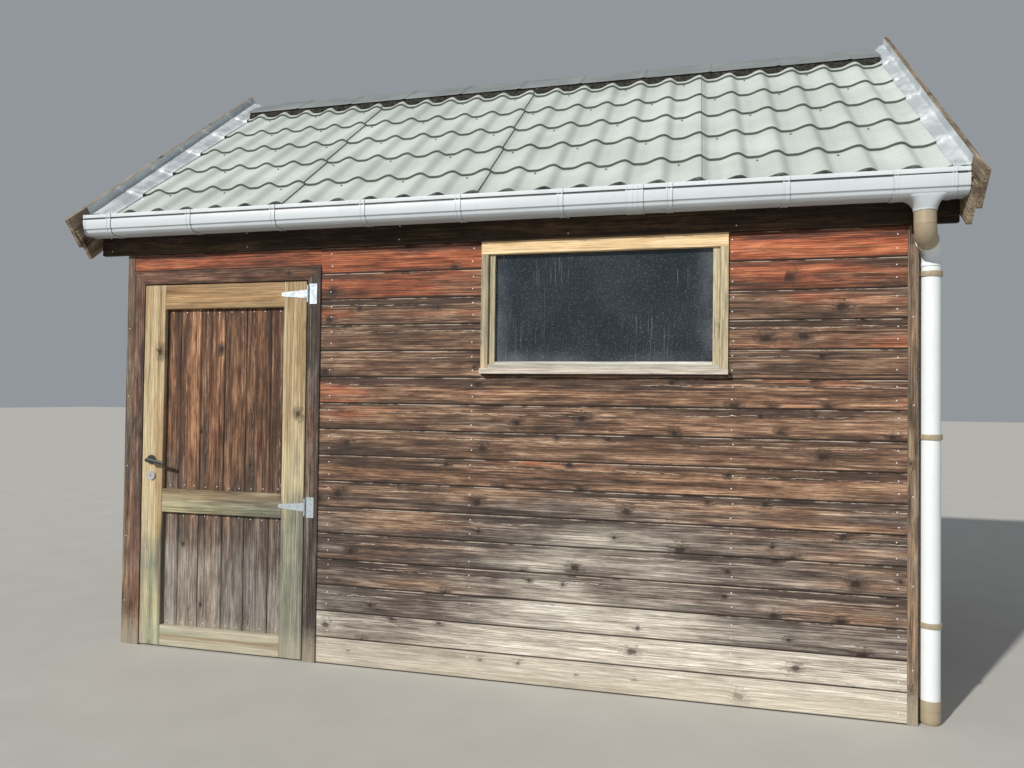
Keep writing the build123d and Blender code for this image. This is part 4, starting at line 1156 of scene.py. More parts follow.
def copied_points(bm):
    """Repeat everything in a bmesh, and return the points of the copy."""
    copied = bmesh.ops.duplicate(bm, geom=bm.verts[:] + bm.edges[:] + bm.faces[:])["geom"]
    return [part for part in copied if isinstance(part, bmesh.types.BMVert)]


half_turn = Matrix.Rotation(math.pi, 3, "Z")


def on_both_slopes(bm):
    """Repeat everything on the back slope, turned half way round."""
    bmesh.ops.rotate(bm, verts=copied_points(bm), cent=(0, 0, 0), matrix=half_turn)


print("sheet metal tools ready")

# %% [markdown]
# The paint is a pale grey-green, chalky in places, darker just below each step, and dark on the face of each
# step with dirt and painted shade. The finish reads where a point lies on its sheet: across the roof, up the
# slope, and its share of the course. Thin dark lines of painted shadow mark the laps of the panels.

# %% Painted sheet finish
seam_places = (-1.07, 0.041, 1.145)
seam_shadow_shares = (0.9, 0.95, 0.45)
sheet_paint, tree, shader = start_material("painted_tile_sheet", Roughness=0.45, Metallic=0.0,
                                           Specular_IOR_Level=0.45)
sheet_place = attribute(tree, "sheet")
sheet_axes = axis_values(tree, sheet_place)
grime = grime_on(tree, 60.0)
dusty = threshold(tree, soft_noise(tree, stretched(tree, sheet_place, 1.6, 3.0, 0.2), 1.0, 3.0), 0.35, 0.7)
paint = blend(tree, dusty, (0.5, 0.55, 0.515), (0.61, 0.66, 0.63))
streak = threshold(tree, soft_noise(tree, stretched(tree, sheet_place, 9.0, 0.7, 0.0), 1.0, 3.0), 0.45, 0.75)
paint = stained(tree, paint, (0.64, 0.67, 0.63), streak, 0.35)
paint = stained(tree, paint, (0.27, 0.29, 0.25), threshold(tree, sheet_axes["Z"], 0.93, 1.0), 0.4)
broken = threshold(tree, soft_noise(tree, sheet_place, 14.0, 4.0, 0.7), 0.3, 0.6, 0.7, 1.0)
# The face of each step is dark with dirt and painted shade.
paint = stained(tree, paint, (0.06, 0.068, 0.055), attribute(tree, "step_face", "Fac"), broken)
# Thin dark lines at the laps of the panels: painted shadow of each lifted edge.
for seam, share in zip(seam_places, seam_shadow_shares):
    from_seam = number(tree, "ABSOLUTE", number(tree, "SUBTRACT", sheet_axes["X"], seam))
    seam_shadow = threshold(tree, from_seam, 0.0016, 0.0032, share, 0.0)
    paint = stained(tree, paint, (0.045, 0.05, 0.045), seam_shadow, broken)
paint = stained(tree, paint, (0.27, 0.27, 0.22), grime["Specks"], 0.5)
finish_material(tree, shader, paint, threshold(tree, grime["Film"], 0.3, 0.8, 0.38, 0.62),
                relief(tree, soft_noise(tree, sheet_place, 6.0), 0.0012, 0.6))
print(f"sheet paint: {len(tree.nodes)} nodes")

# %% [markdown]
# Two falls below the plane of the crests add up to the pressed shape: the wave across the sheet, steep on one
# side and gentle on the other, and the step along it. The ridge filler and the flashings follow them too.

# %% Shape of a tile
wave_period, wave_depth, wave_crest = 0.1864, 0.0255, 0.015
course_length, course_step = 0.337, 0.0145
course_starts = [0.003 + course_length * number_up for number_up in range(6)]
sheet_setback = 0.045
sheet_thickness = 0.0007


def slope_length(above):
    """Distance along the slope from the eaves edge to the ridge line, at a height above the crests."""
    return (above * math.sin(pitch) - eaves_edge.y) / math.cos(pitch)


def wave_fall(x):
    """How far the sheet lies below its crests: a steep side, a flat trough and a gentle rise."""
    share = ((x - wave_crest) / wave_period) % 1.0
    if share < 0.29:
        return wave_depth * (0.5 - 0.5 * math.cos(math.pi * share / 0.29))
    if share < 0.47:
        return wave_depth
    return wave_depth * (0.5 + 0.5 * math.cos(math.pi * (share - 0.47) / 0.53))


def course_share_at(along):
    """Share of its course that a place on the slope has reached, 0 at the lower edge."""
    start = max((begin for begin in course_starts if begin <= along + 1e-5), default=course_starts[0])
    return min(max((along - start) / course_length, 0.0), 1.0)


print(f"waves {wave_period * 1000:.0f} mm wide, courses {course_length * 1000:.0f} mm long")

# %% [markdown]
# The rows of the grid lie close together at each step and far apart between them, so the edges are crisp and
# the mesh stays light. Four panels lie side by side, each lapping over its neighbour.

# %% Press the roof sheets
step_lip = ((0.0, 0.0045), (0.0014, 0.0014), (0.004, 0.0003))
panel_seams = (-barge_inner, *seam_places, barge_inner)
panel_lap = 0.045
sheet_end = slope_length(-sheet_height) - 0.014

# Each row of points is a distance up the slope and a fall
sheet_rows = [(sheet_setback - 0.0012, 0.0155)]
sheet_rows += [(sheet_setback + beyond, fall) for beyond, fall in step_lip]
for begin in course_starts:
    if begin > sheet_setback:
        sheet_rows.append((begin - 0.0004, course_step))
        sheet_rows += [(begin + beyond, fall) for beyond, fall in step_lip]
    for inside in (0.012, 0.06, 0.14, 0.22, 0.29, 0.33):
        if sheet_setback + 0.005 < begin + inside < sheet_end - 0.01:
            sheet_rows.append((begin + inside, course_step * inside / course_length))
sheet_rows.append((sheet_end, course_step))

sheets = bmesh.new()
sheet_layer = sheets.verts.layers.float_vector.new("sheet")
face_layer = sheets.verts.layers.float.new("step_face")
step_edges = [sheet_setback] + course_starts[1:]
for left, right in zip(panel_seams, panel_seams[1:]):
    first = left if left == panel_seams[0] else left - panel_lap
    steps = round((right - first) / (wave_period / 16))

    def sheet_point(x, row, edge=right):
        along, fall = row
        lift = 0.0 if edge == panel_seams[-1] else 0.0028 * max(0.0, 1.0 - (edge - x) / 0.05)
        return slope_point(x, along, lift - fall - wave_fall(x))

    fresh = mapped_grid(sheets, spread(first, right, steps), sheet_rows, sheet_point)
    for vert in fresh:
        along = (vert.co - eaves_edge).dot(slope_up)
        vert[sheet_layer] = Vector((vert.co.x, along, course_share_at(along)))
        past_edge = min((along - edge for edge in step_edges if along - edge > -0.002), default=1.0)
        vert[face_layer] = max(0.0, 1.0 - max(past_edge, 0.0) / 0.0016)
thicken(sheets, sheet_thickness)
back_sheets = sheets.copy()
bmesh.ops.rotate(back_sheets, verts=back_sheets.verts, cent=(0, 0, 0), matrix=half_turn)
for slope, pressed in (("front", sheets), ("back", back_sheets)):
    finish_piece(pressed, f"roof_sheets_{slope}_pressed", sheet_paint,
                 [f"roof_sheets_{slope}"], smooth=40)

# %% [markdown]
# Screws with wide washers hold the sheets down in the troughs, in staggered rows. Each is two short cones, a
# little off its place, as a hand would leave it.

# %% Roof screws
screw_metal, tree, shader = start_material("dull_screw_steel", Metallic=0.6)
grime = grime_on(tree, 300.0)
screw_colour = blend(tree, grime["Film"], (0.16, 0.17, 0.15), (0.34, 0.35, 0.32))
finish_material(tree, shader, screw_colour, threshold(tree, grime["Film"], 0.0, 1.0, 0.35, 0.65))


def add_screw(bm, place, radius, height):
    """A washer and a six-sided head, standing on the XY plane of the placing matrix."""
    washer = place @ Matrix.Translation((0, 0, height * 0.15))
    bmesh.ops.create_cone(bm, cap_ends=True, segments=12, radius1=radius, radius2=radius * 0.85,
                          depth=height * 0.3, matrix=washer)
    head = place @ Matrix.Translation((0, 0, height * 0.65))
    bmesh.ops.create_cone(bm, cap_ends=True, segments=6, radius1=radius * 0.62, radius2=radius * 0.58,
                          depth=height * 0.7, matrix=head)


screws = bmesh.new()
slope_turn = frame_at((0, 0, 0), (1, 0, 0), slope_up)
above_step = 0.04
for course, begin in enumerate(course_starts):
    along = begin + course_length - above_step
    if along > slope_length(0.0) - 0.3:
        continue
    first_trough = -0.083 if course % 2 == 0 else 0.102
    for column in range(-6, 7):
        x = first_trough + 2 * wave_period * column
        if abs(x) < 2.13:
            fall = wave_depth + course_step * (1.0 - above_step / course_length)
            seat = slope_point(x + chance.uniform(-0.004, 0.004),
                               along + chance.uniform(-0.006, 0.006), -fall)
            add_screw(screws, Matrix.Translation(seat) @ slope_turn, 0.0075, 0.006)
on_both_slopes(screws)
finish_piece(screws, "roof_screws", screw_metal)

# %% [markdown]
# ## Ridge and verges
# The ridge is covered by caps of darker painted metal, with a crumbly dark filler under their edges. Along
# each gable lies a soft aluminium flashing, dull with oxide, with painted highlights in patches at each step
# of the tiles, so its finish counts the steps up the slope.

# %% Ridge, filler and flashing finishes
ridge_metal, tree, shader = start_material("ridge_cap_paint", Specular_IOR_Level=0.4)
place = object_place(tree)
grime = grime_on(tree, 70.0)
ridge_tone = blend(tree, threshold(tree, grime["Film"], 0.25, 0.75),
                   (0.175, 0.192, 0.195), (0.27, 0.292, 0.295))
ridge_tone = stained(tree, ridge_tone, (0.22, 0.21, 0.18), grime["Specks"], 0.6)
finish_material(tree, shader, ridge_tone, threshold(tree, grime["Film"], 0.0, 1.0, 0.4, 0.7),
                relief(tree, soft_noise(tree, place, 9.0, 2.0), 0.001, 0.5))

filler, tree, shader = start_material("ridge_filler", Roughness=0.95, Specular_IOR_Level=0.15)
clumps = soft_noise(tree, object_place(tree), 60.0, 5.0, 0.7)
filler_tone = colour_steps(tree, clumps, [(0.34, (0.016, 0.015, 0.012)), (0.52, (0.04, 0.038, 0.033)),
                                          (0.68, (0.095, 0.09, 0.08))])
finish_material(tree, shader, filler_tone, normal=relief(tree, clumps, 0.006, 0.9))

flashing_metal, tree, shader = start_material("crinkled_aluminium", Metallic=0.35, Specular_IOR_Level=0.5)
place = object_place(tree)
grime = grime_on(tree, 90.0)
oxide = threshold(tree, soft_noise(tree, place, 7.0, 4.0, 0.65), 0.4, 0.64)
metal_tone = blend(tree, oxide, (0.52, 0.56, 0.585), (0.64, 0.68, 0.7))
climbed = number(tree, "SUBTRACT", axis_values(tree, place)["Z"], eaves_edge.z)
since_step = number(tree, "FRACT", number(tree, "DIVIDE", climbed, course_length * math.sin(pitch)))
near_step = number(tree, "MAXIMUM", threshold(tree, since_step, 0.0, 0.16, 1.0, 0.0),
                   threshold(tree, since_step, 0.92, 1.0))
step_highlight_noise = soft_noise(tree, place, 60.0, 3.0, 0.7)
step_highlights = threshold(tree, step_highlight_noise, 0.4, 0.62)
# Bright patches at each step are painted highlights where the bent metal faces the sun.
metal_tone = stained(tree, metal_tone, (0.93, 0.95, 0.95), near_step, step_highlights)
metal_tone = stained(tree, metal_tone, (0.25, 0.24, 0.21), grime["Specks"], 0.5)
creases = relief(tree, soft_noise(tree, stretched(tree, place, 24.0, 42.0, 42.0), 1.0, 3.0, 0.6), 0.0022, 0.7)
finish_material(tree, shader, metal_tone, threshold(tree, oxide, 0.0, 1.0, 0.46, 0.66), creases)
print("ridge, filler and flashing finishes ready")

# %% [markdown]
# A cap is one outline, from lip to lip over the ridge, carried along X. Each laps into the next under a
# rolled band, so the outline swells a little at those stations. Separate caps would only add metal that the
# laps hide.

# %% Form the ridge caps
cap_low, cap_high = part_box("ridge_cap")
cap_edge_y, cap_top_z = 0.231, 3.7
cap_edge_z = 3.571
cap_lip = 0.009
cap_droop = 0.009
cap_length, band_width = 0.42, 0.034
cap_line = [(-cap_edge_y + 0.001, cap_edge_z - cap_droop - cap_lip), (-cap_edge_y, cap_edge_z - cap_droop),
            (-0.15, cap_edge_z + 0.0455), (-0.08, cap_edge_z + 0.0865), (-0.06, cap_edge_z + 0.0985),
            (-0.045, cap_top_z - 0.0215), (-0.028, cap_top_z - 0.0085), (-0.012, cap_top_z - 0.0015),
            (0.0, cap_top_z)]
cap_line += [(-y, z) for y, z in reversed(cap_line[:-1])]


def joint_rise(x):
    """The rolled band where one cap laps over the next, and the slight rise towards it."""
    share = ((x - cap_low.x) / cap_length) % 1.0
    reach = (1.0 - share) * cap_length
    if reach < band_width:
        return 0.0045 * (0.35 + 0.65 * math.sin(math.pi * reach / band_width))
    return 0.0016 * share


def cap_point(x, point):
    """A point of the outline, pushed out by the rise at its station."""
    y, z = point
    return Vector((x, y, z)) + Vector((0.0, y * 0.55, 0.12)).normalized() * joint_rise(x)


cap_stations = []
for joint in range(math.ceil((cap_high.x - cap_low.x) / cap_length)):
    for inside in (0.0005, 0.1, 0.2, 0.3, 0.3855, 0.387, 0.392, 0.398, 0.403, 0.408, 0.414, 0.4195):
        if cap_low.x + joint * cap_length + inside < cap_high.x:
            cap_stations.append(cap_low.x + joint * cap_length + inside)
cap_stations.append(cap_high.x)
ridge = bmesh.new()
mapped_grid(ridge, cap_stations, cap_line, cap_point)
thicken(ridge, 0.0009)
finish_piece(ridge, "ridge_caps_formed", ridge_metal, ["ridge_cap"], smooth=35)

# %% [markdown]
# The filler closes the waves under the caps. It is a narrow strip whose lower edge follows the waves and
# whose face bulges and crumbles a little, by noise.

# %% Pack the ridge filler
filling = bmesh.new()
filler_top = cap_edge_z - cap_droop - 0.001
filler_steps = 560


def filler_point(x, share):
    """A point of the filler, from the waves at share 0 to the lip of the cap at share 1."""
    bottom = slope_point(x, slope_length(0.0) - (cap_edge_y - 0.012) / math.cos(pitch), 0.0)
    low = bottom.z - wave_fall(x) - course_step * 1.3
    ragged = noise.noise(Vector((x * 34.0, share * 3.0, 1.7))) * 0.006
    bulge = 0.005 * math.sin(math.pi * share)
    return Vector((x, bottom.y - bulge + ragged, low + (filler_top - low) * share))


mapped_grid(filling, spread(cap_low.x + 0.004, cap_high.x - 0.004, filler_steps), spread(0.0, 1.0, 5),
            filler_point)
on_both_slopes(filling)
finish_piece(filling, "ridge_filler", filler, smooth=60)

# %% [markdown]
# The flashing was dressed over the sheets by hand: it follows their waves and steps loosely, is crinkled, and
# turns up against the barge board. Two sizes of noise on the tile formula do that.

# %% Dress the flashings
flashing_sides = {"left": (-1, 2.275, 2.15), "right": (1, 2.275, 2.21)}
flashing_up = 0.042
row_steps = 230
for side_name, (side, outer, inner) in flashing_sides.items():
    flashing_line = [(x, 0.0) for x in spread(inner, outer - 0.006, 7)]
    flashing_line += [(outer - 0.002, 0.0022), (outer - 0.0008, 0.008)]
    flashing_line += [(outer - 0.0008, height) for height in spread(0.016, flashing_up, 3)]

    def flashing_point(corner, share):
        x, above = corner
        along = share * slope_length(above)
        on_sheet = max(0.0, min(1.0, (barge_inner - x) / 0.02))
        nearest = min(course_share_at(along + reach) for reach in (-0.01, 0.0, 0.01, 0.02))
        dressed = course_step * nearest * on_sheet + wave_fall(side * x) * on_sheet
        crinkle = abs(noise.noise(Vector((side * x * 26.0, along * 30.0, 3.0)))) * 0.003
        crinkle += abs(noise.noise(Vector((side * x * 70.0, along * 90.0, 8.0)))) * 0.0014
        sideways = crinkle if above > 0.012 else 0.0
        return slope_point(side * (x - sideways), along, above + 0.0016 - dressed + crinkle)

    flashing = bmesh.new()
    mapped_grid(flashing, flashing_line, spread(0.0, 1.0, row_steps), flashing_point)
    bmesh.ops.scale(flashing, vec=(1, -1, 1), verts=copied_points(flashing))
    thicken(flashing, 0.0008)
    finish_piece(flashing, f"verge_flashing_{side_name}_dressed", flashing_metal,
                 [f"verge_flashing_{side_name}"], smooth=50)

# %% [markdown]
# ## Rainwater goods
# Gutters and pipes are extruded or moulded plastic, with a film of dust, specks and runs. One helper makes
# each plastic from a clean and a dirty tone. The gutter also carries bands of painted shade down its front:
# in its groove, where there is some dirt too, under its step and over its lower part, and its blue-grey tones
# are partly a painted reflection of the sky.

# %% Plastic finishes
def plastic(name, clean, dirty, speck, roughness=0.32, speck_share=0.25, shade_and_dirt=()):
    """Weathered plastic: a clean tone, a dirty tone, specks, and bands of painted shade, with some dirt,
    between given heights and depths.
    """
    material, tree, shader = start_material(name, Specular_IOR_Level=0.45)
    place = object_place(tree)
    grime = grime_on(tree, 60.0)
    tone = blend(tree, threshold(tree, grime["Film"], 0.35, 0.85, 0.0, 0.8), clean, dirty)
    tone = stained(tree, tone, dirty, threshold(tree, grime["Runs"], 0.55, 0.8), 0.35)
    tone = stained(tree, tone, speck, grime["Specks"], speck_share)
    axes = axis_values(tree, place)
    depth = number(tree, "ABSOLUTE", axes["Y"])
    for low_z, high_z, soft, outermost, share, colour in shade_and_dirt:
        tone = stained(tree, tone, colour, threshold(tree, axes["Z"], low_z - soft, low_z + soft),
                       threshold(tree, axes["Z"], high_z - soft, high_z + soft, 1.0, 0.0),
                       threshold(tree, depth, outermost, outermost + 0.0006, share, 0.0))
    rough = threshold(tree, grime["Film"], 0.0, 1.0, roughness, roughness + 0.22)
    finish_material(tree, shader, tone, rough, relief(tree, soft_noise(tree, place, 30.0, 2.0), 0.0002, 0.4))
    print(f"{name}: {len(shade_and_dirt)} bands of soot")
    return material


# The gutter's bands are painted shade, with dirt in the groove, and its blue-grey is partly a painted
# reflection of the sky.
gutter_plastic = plastic(
    "gutter_plastic", (0.77, 0.82, 0.85), (0.6, 0.64, 0.66), (0.24, 0.24, 0.2),
    shade_and_dirt=((2.415, 2.4246, 0.0006, 1.6604, 0.93, (0.035, 0.038, 0.04)),
          (2.361, 2.414, 0.005, 1.7, 0.55, (0.52, 0.57, 0.6)),
          (2.27, 2.356, 0.01, 1.7, 0.45, (0.36, 0.41, 0.45)),
          (2.356, 2.362, 0.0015, 1.7, 0.55, (0.16, 0.175, 0.185))))
pipe_plastic = plastic("pipe_plastic", (0.84, 0.88, 0.89), (0.74, 0.78, 0.79), (0.35, 0.36, 0.32), 0.28, 0.1)
sand_plastic = plastic("sand_plastic", (0.4, 0.325, 0.215), (0.32, 0.27, 0.19), (0.12, 0.1, 0.07), 0.38)

# %% [markdown]
# An extruded shape is modelled the way it is made: points for the outside, its corners rounded as the die
# leaves them, a second line one wall further in, and one extrude along X.

# %% Outline tools
def corners(points):
    """Each corner of a line, with the points before and after it."""
    line = [Vector(point) for point in points]
    return zip(line, line[1:], line[2:])


def rounded_line(points, radius, steps=2):
    """An open outline in Y and Z with an arc at every inner corner."""
    line = [Vector(points[0])]
    for before, corner, after in corners(points):
        reach = min(radius, (before - corner).length * 0.45, (after - corner).length * 0.45)
        start = corner + (before - corner).normalized() * reach
        end = corner + (after - corner).normalized() * reach
        for step in range(steps + 1):
            share = step / steps
            line.append(start.lerp(corner, share).lerp(corner.lerp(end, share), share))
    line.append(Vector(points[-1]))
    return line


def offset_line(line, distance):
    """An open outline moved sideways, outwards for a positive distance."""
    moved = []
    for index, point in enumerate(line):
        before = line[max(index - 1, 0)]
        after = line[min(index + 1, len(line) - 1)]
        run = (after - before).normalized()
        moved.append(point + Vector((run.y, -run.x)) * distance)
    return moved


def drawn_out(bm, outline, x_from, x_to):
    """A closed outline in Y and Z, filled and extruded along X."""
    verts = [bm.verts.new((x_from, y, z)) for y, z in outline]
    face = bm.faces.new(verts)
    grown = bmesh.ops.extrude_face_region(bm, geom=[face])["geom"]
    moved = [part for part in grown if isinstance(part, bmesh.types.BMVert)]
    bmesh.ops.translate(bm, vec=(x_to - x_from, 0, 0), verts=moved)


def mirror_to_back(bm):
    """Repeat everything behind the shed, mirrored, with its faces turned out again."""
    bmesh.ops.scale(bm, vec=(1, -1, 1), verts=copied_points(bm))
    bmesh.ops.recalc_face_normals(bm, faces=bm.faces[:])


print("outline tools ready")

# %% Gutters
gutter_back, gutter_front = -1.512, -1.662
lip_z, gutter_floor = 2.444, 2.331
gutter_end = 2.248
gutter_wall = 0.003
step_top = lip_z - 0.08
gutter_points = [
    (gutter_front, lip_z), (gutter_front, lip_z - 0.019),
    (gutter_front + 0.006, lip_z - 0.02), (gutter_front + 0.006, lip_z - 0.028),
    (gutter_front, lip_z - 0.029), (gutter_front + 0.001, step_top),
    (gutter_front + 0.007, step_top - 0.0035), (gutter_front + 0.01, gutter_floor + 0.013),
    (gutter_front + 0.026, gutter_floor), (gutter_back - 0.04, gutter_floor),
    (gutter_back, gutter_floor + 0.04), (gutter_back, lip_z),
]
gutter_outer = rounded_line(gutter_points, 0.0025)
gutter_inner = offset_line(gutter_outer, -gutter_wall)
gutters = bmesh.new()
drawn_out(gutters, gutter_outer + gutter_inner[::-1], -gutter_end, gutter_end)
lip_points = ((0.0, 0.0), (0.009, 0.0), (0.009, -0.008), (0.0065, -0.0095), (0.003, -0.003))
lip_outline = [gutter_outer[0] + Vector(point) for point in lip_points]
drawn_out(gutters, lip_outline, -gutter_end, gutter_end)
end_outline = gutter_outer[:-1] + [Vector((gutter_back, lip_z - 0.044))]
for low_x in (-gutter_end, gutter_end - gutter_wall):
    drawn_out(gutters, end_outline, low_x, low_x + gutter_wall)
mirror_to_back(gutters)
finish_piece(gutters, "gutters_moulded", gutter_plastic, ["gutters"], smooth=30)

# %% [markdown]
# Brackets, a union and the outlet's sleeve clasp the gutter: its own outline again, a little further out,
# drawn out over a short length, with raised ribs.

# %% Brackets, union and outlet sleeve
outlet_x, outlet_y = half_width - 0.003, (gutter_front + gutter_back) / 2
sleeve_middle = outlet_x - 0.019
band_line = rounded_line(gutter_points, 0.003)


def add_band(bm, middle, width, ribs, base=0.0022, rib_height=0.0038, rib_width=0.007):
    """A band round the gutter with raised ribs across it."""
    inside = offset_line(band_line, 0.0002)
    outline = offset_line(band_line, base) + inside[::-1]
    drawn_out(bm, outline, middle - width / 2, middle + width / 2)
    for place in ribs:
        low_x = middle + place - rib_width / 2
        drawn_out(bm, offset_line(band_line, rib_height) + inside[::-1], low_x, low_x + rib_width)


bands = bmesh.new()
for number_along in range(8):
    add_band(bands, -2.08 + 0.513 * number_along, 0.03, (-0.0115, 0.0115))
add_band(bands, -gutter_end + 3.086, 0.082, (-0.0375, -0.012, 0.012, 0.0375), base=0.0028)
for end in (-1, 1):
    add_band(bands, end * (gutter_end - 0.006), 0.012, (), base=0.0018)
add_band(bands, sleeve_middle, 0.248, (-0.1205, -0.108, 0.108, 0.1205), base=0.0026)
mirror_to_back(bands)
finish_piece(bands, "gutter_bands_moulded", gutter_plastic,
             ["gutter_bands"], smooth=30)

# %% [markdown]
# Under the sleeve a flare gathers the water: its wide mouth is almost square and sweeps in to a round socket.
# It is a grid again, wrapped round the axis, with a formula for each level.

# %% Outlets
outlet_top, funnel_top, funnel_foot = 2.347, 2.331, 2.276
pipe_radius, socket_radius = 0.0445, 0.048
flare_radius = 0.052
turn_steps = 48


def outlet_point(turn, z):
    """The flare under the sleeve: a wide mouth that sweeps in, as a quarter circle, to a round socket."""
    left_over = max(0.0, min(flare_radius, z - (funnel_foot + 0.006)))
    sweep = flare_radius - math.sqrt(flare_radius ** 2 - left_over ** 2)
    share = left_over / flare_radius
    half_x = socket_radius + sweep * 0.95
    half_y = socket_radius + 0.0165 * share
    squareness = 2.0 + 3.0 * share
    cosine, sine = math.cos(turn), math.sin(turn)
    reach = (abs(cosine) ** squareness + abs(sine) ** squareness) ** (-1.0 / squareness)
    return Vector((outlet_x + half_x * cosine * reach, outlet_y + half_y * sine * reach, z))


outlets = bmesh.new()
outlet_levels = [outlet_top, 2.339] + [funnel_top - 0.0035 * step for step in range(15)] + [funnel_foot]
mapped_grid(outlets, spread(0.0, 2 * math.pi, turn_steps), outlet_levels, outlet_point)
bmesh.ops.remove_doubles(outlets, verts=outlets.verts[:], dist=1e-6)
thicken(outlets, 0.0028)
mirror_to_back(outlets)
finish_piece(outlets, "gutter_outlets_moulded", gutter_plastic, ["gutter_outlets"],
             smooth=40)

# %% [markdown]
# Pipes and elbows are a round outline carried along a line. A curve with a bevel would do for a plain tube,
# but here each point of the line has a radius of its own, for the sockets.

# %% Pipe tools
pipe_x, pipe_y = half_width + 0.06, -face_y + 0.05


def bend_path(points, radius=0.07, steps=12):
    """A path in space with an arc of a radius at every inner corner."""
    path = [Vector(points[0])]
    for before, corner, after in corners(points):
        into, out = (corner - before).normalized(), (after - corner).normalized()
        bend = into.angle(out)
        reach = radius * math.tan(bend / 2)
        centre = corner + (out - into).normalized() * radius / math.cos(bend / 2)
        spoke = corner - into * reach - centre
        for step in range(steps + 1):
            path.append(centre + Matrix.Rotation(bend * step / steps, 3, into.cross(out)) @ spoke)
    path.append(Vector(points[-1]))
    return path


def carried_tube(bm, path, radii, wall=0.003):
    """A tube along a path, with a radius at every point, and its thickness inwards."""
    side = Vector((1.0, 0.0, 0.0))
    frames = []
    for index, point in enumerate(path):
        run = (path[min(index + 1, len(path) - 1)] - path[max(index - 1, 0)]).normalized()
        side = (side - run * side.dot(run)).normalized()
        frames.append((point, side, run.cross(side), radii[index]))

    def tube_point(turn, place):
        centre, right, up, radius = frames[place]
        return centre + (right * math.cos(turn) + up * math.sin(turn)) * radius

    tube = bmesh.new()
    mapped_grid(tube, spread(0.0, 2 * math.pi, turn_steps), list(range(len(path))), tube_point)
    bmesh.ops.remove_doubles(tube, verts=tube.verts[:], dist=1e-6)
    thicken(tube, wall)
    mesh = bpy.data.meshes.new("tube")
    tube.to_mesh(mesh)
    tube.free()
    bm.from_mesh(mesh)
    bpy.data.meshes.remove(mesh)


def plumb_tube(bm, levels, wall=0.003):
    """A tube on the downpipe's plumb line; levels are (height, radius)."""
    carried_tube(bm, [Vector((pipe_x, pipe_y, z)) for z, _ in levels], [radius for _, radius in levels], wall)


print("pipe tools ready")

# %% Downpipes
crossing_start = Vector((outlet_x, outlet_y, funnel_foot - 0.104))
crossing_end = Vector((pipe_x, pipe_y, crossing_start.z - 0.022))
elbow_joint = crossing_start.lerp(crossing_end, 0.5)
pipes = bmesh.new()
rim_start = elbow_joint.lerp(crossing_start, 0.1)
rim = [rim_start + (crossing_end - crossing_start).normalized() * reach for reach in (0.0, 0.008, 0.009)]
path = rim + bend_path([rim[-1], crossing_end, (pipe_x, pipe_y, 0.108)])[1:]
socket_foot, socket_rim = 2.057, 2.075
upper = [point for point in path if point.z > socket_rim]
carried_tube(pipes, upper + [Vector((pipe_x, pipe_y, z)) for z in (socket_rim, 2.072, 2.069, socket_foot)],
             [0.0475, 0.0475] + [pipe_radius] * (len(upper) - 1) + [0.0465, 0.048, 0.048])
plumb_tube(pipes, [(z, pipe_radius) for z in (socket_foot + 0.01, 1.2, 0.1)])
mirror_to_back(pipes)
finish_piece(pipes, "downpipes_drawn", pipe_plastic, ["downpipes"], smooth=40)

# %% [markdown]
# The elbow, the shoe at the ground and the clips are moulded in a sand colour. A clip is a ring round the
# pipe, a block on the corner board and an ear at each side.

# %% Elbows, clips and shoes
fittings = bmesh.new()
socket = [Vector((outlet_x, outlet_y, z)) for z in (funnel_foot - 0.001, 2.2195, 2.219, 2.218, 2.2175)]
elbow = bend_path([(outlet_x, outlet_y, 2.217), crossing_start, elbow_joint])
elbow_radii = [0.0452, 0.0452, 0.0438, 0.0438, 0.0452] + [0.0452] * len(elbow)
carried_tube(fittings, socket + elbow, elbow_radii)
plumb_tube(fittings, (
    (0.11, 0.046), (0.109, 0.0465), (0.064, 0.0465), (0.0635, 0.0452), (0.0625, 0.0452),
    (0.062, 0.0465), (0.03, 0.0465), (0.016, 0.045), (0.006, 0.0415), (0.0005, 0.0365)))
clip_ring = ((0.012, 0.0462), (0.0115, 0.05), (0.008, 0.0508), (-0.008, 0.0508), (-0.0115, 0.05),
             (-0.012, 0.0462))
clip_depth, clip_width, clip_height = 0.015, 0.04, 0.024
for clip_z in (0.443, 1.285, 2.022):
    plumb_tube(fittings, [(clip_z + rise, radius) for rise, radius in clip_ring], wall=0.0012)
    base = Matrix.Translation((half_width + clip_depth / 2, pipe_y, clip_z))
    base = base @ Matrix.Diagonal((clip_depth, clip_width, clip_height, 1))
    block = bmesh.ops.create_cube(fittings, size=1.0, matrix=base)["verts"]
    bmesh.ops.bevel(fittings, geom=list({edge for vert in block for edge in vert.link_edges}), offset=0.0015,
                    segments=2, profile=0.5, affect="EDGES", material=-1)
    for side in (-1, 1):
        ear = Matrix.Translation((pipe_x - 0.012, pipe_y + side * 0.0475, clip_z))
        bmesh.ops.create_cone(fittings, cap_ends=True, segments=12, radius1=0.0045, radius2=0.0045,
                              depth=0.007, matrix=ear @ Matrix.Rotation(math.pi / 2, 4, "X"))
mirror_to_back(fittings)
finish_piece(fittings, "pipe_fittings_moulded", sand_plastic, ["pipe_fittings"],
             smooth=40)

# %% [markdown]
# ## Door hardware
# The T-hinges are galvanised steel, the lock plate is a bright one over a black one, and the lever is black.
# Bare metal is never even, so clouds of oxide and small spots vary its colour and its roughness together.

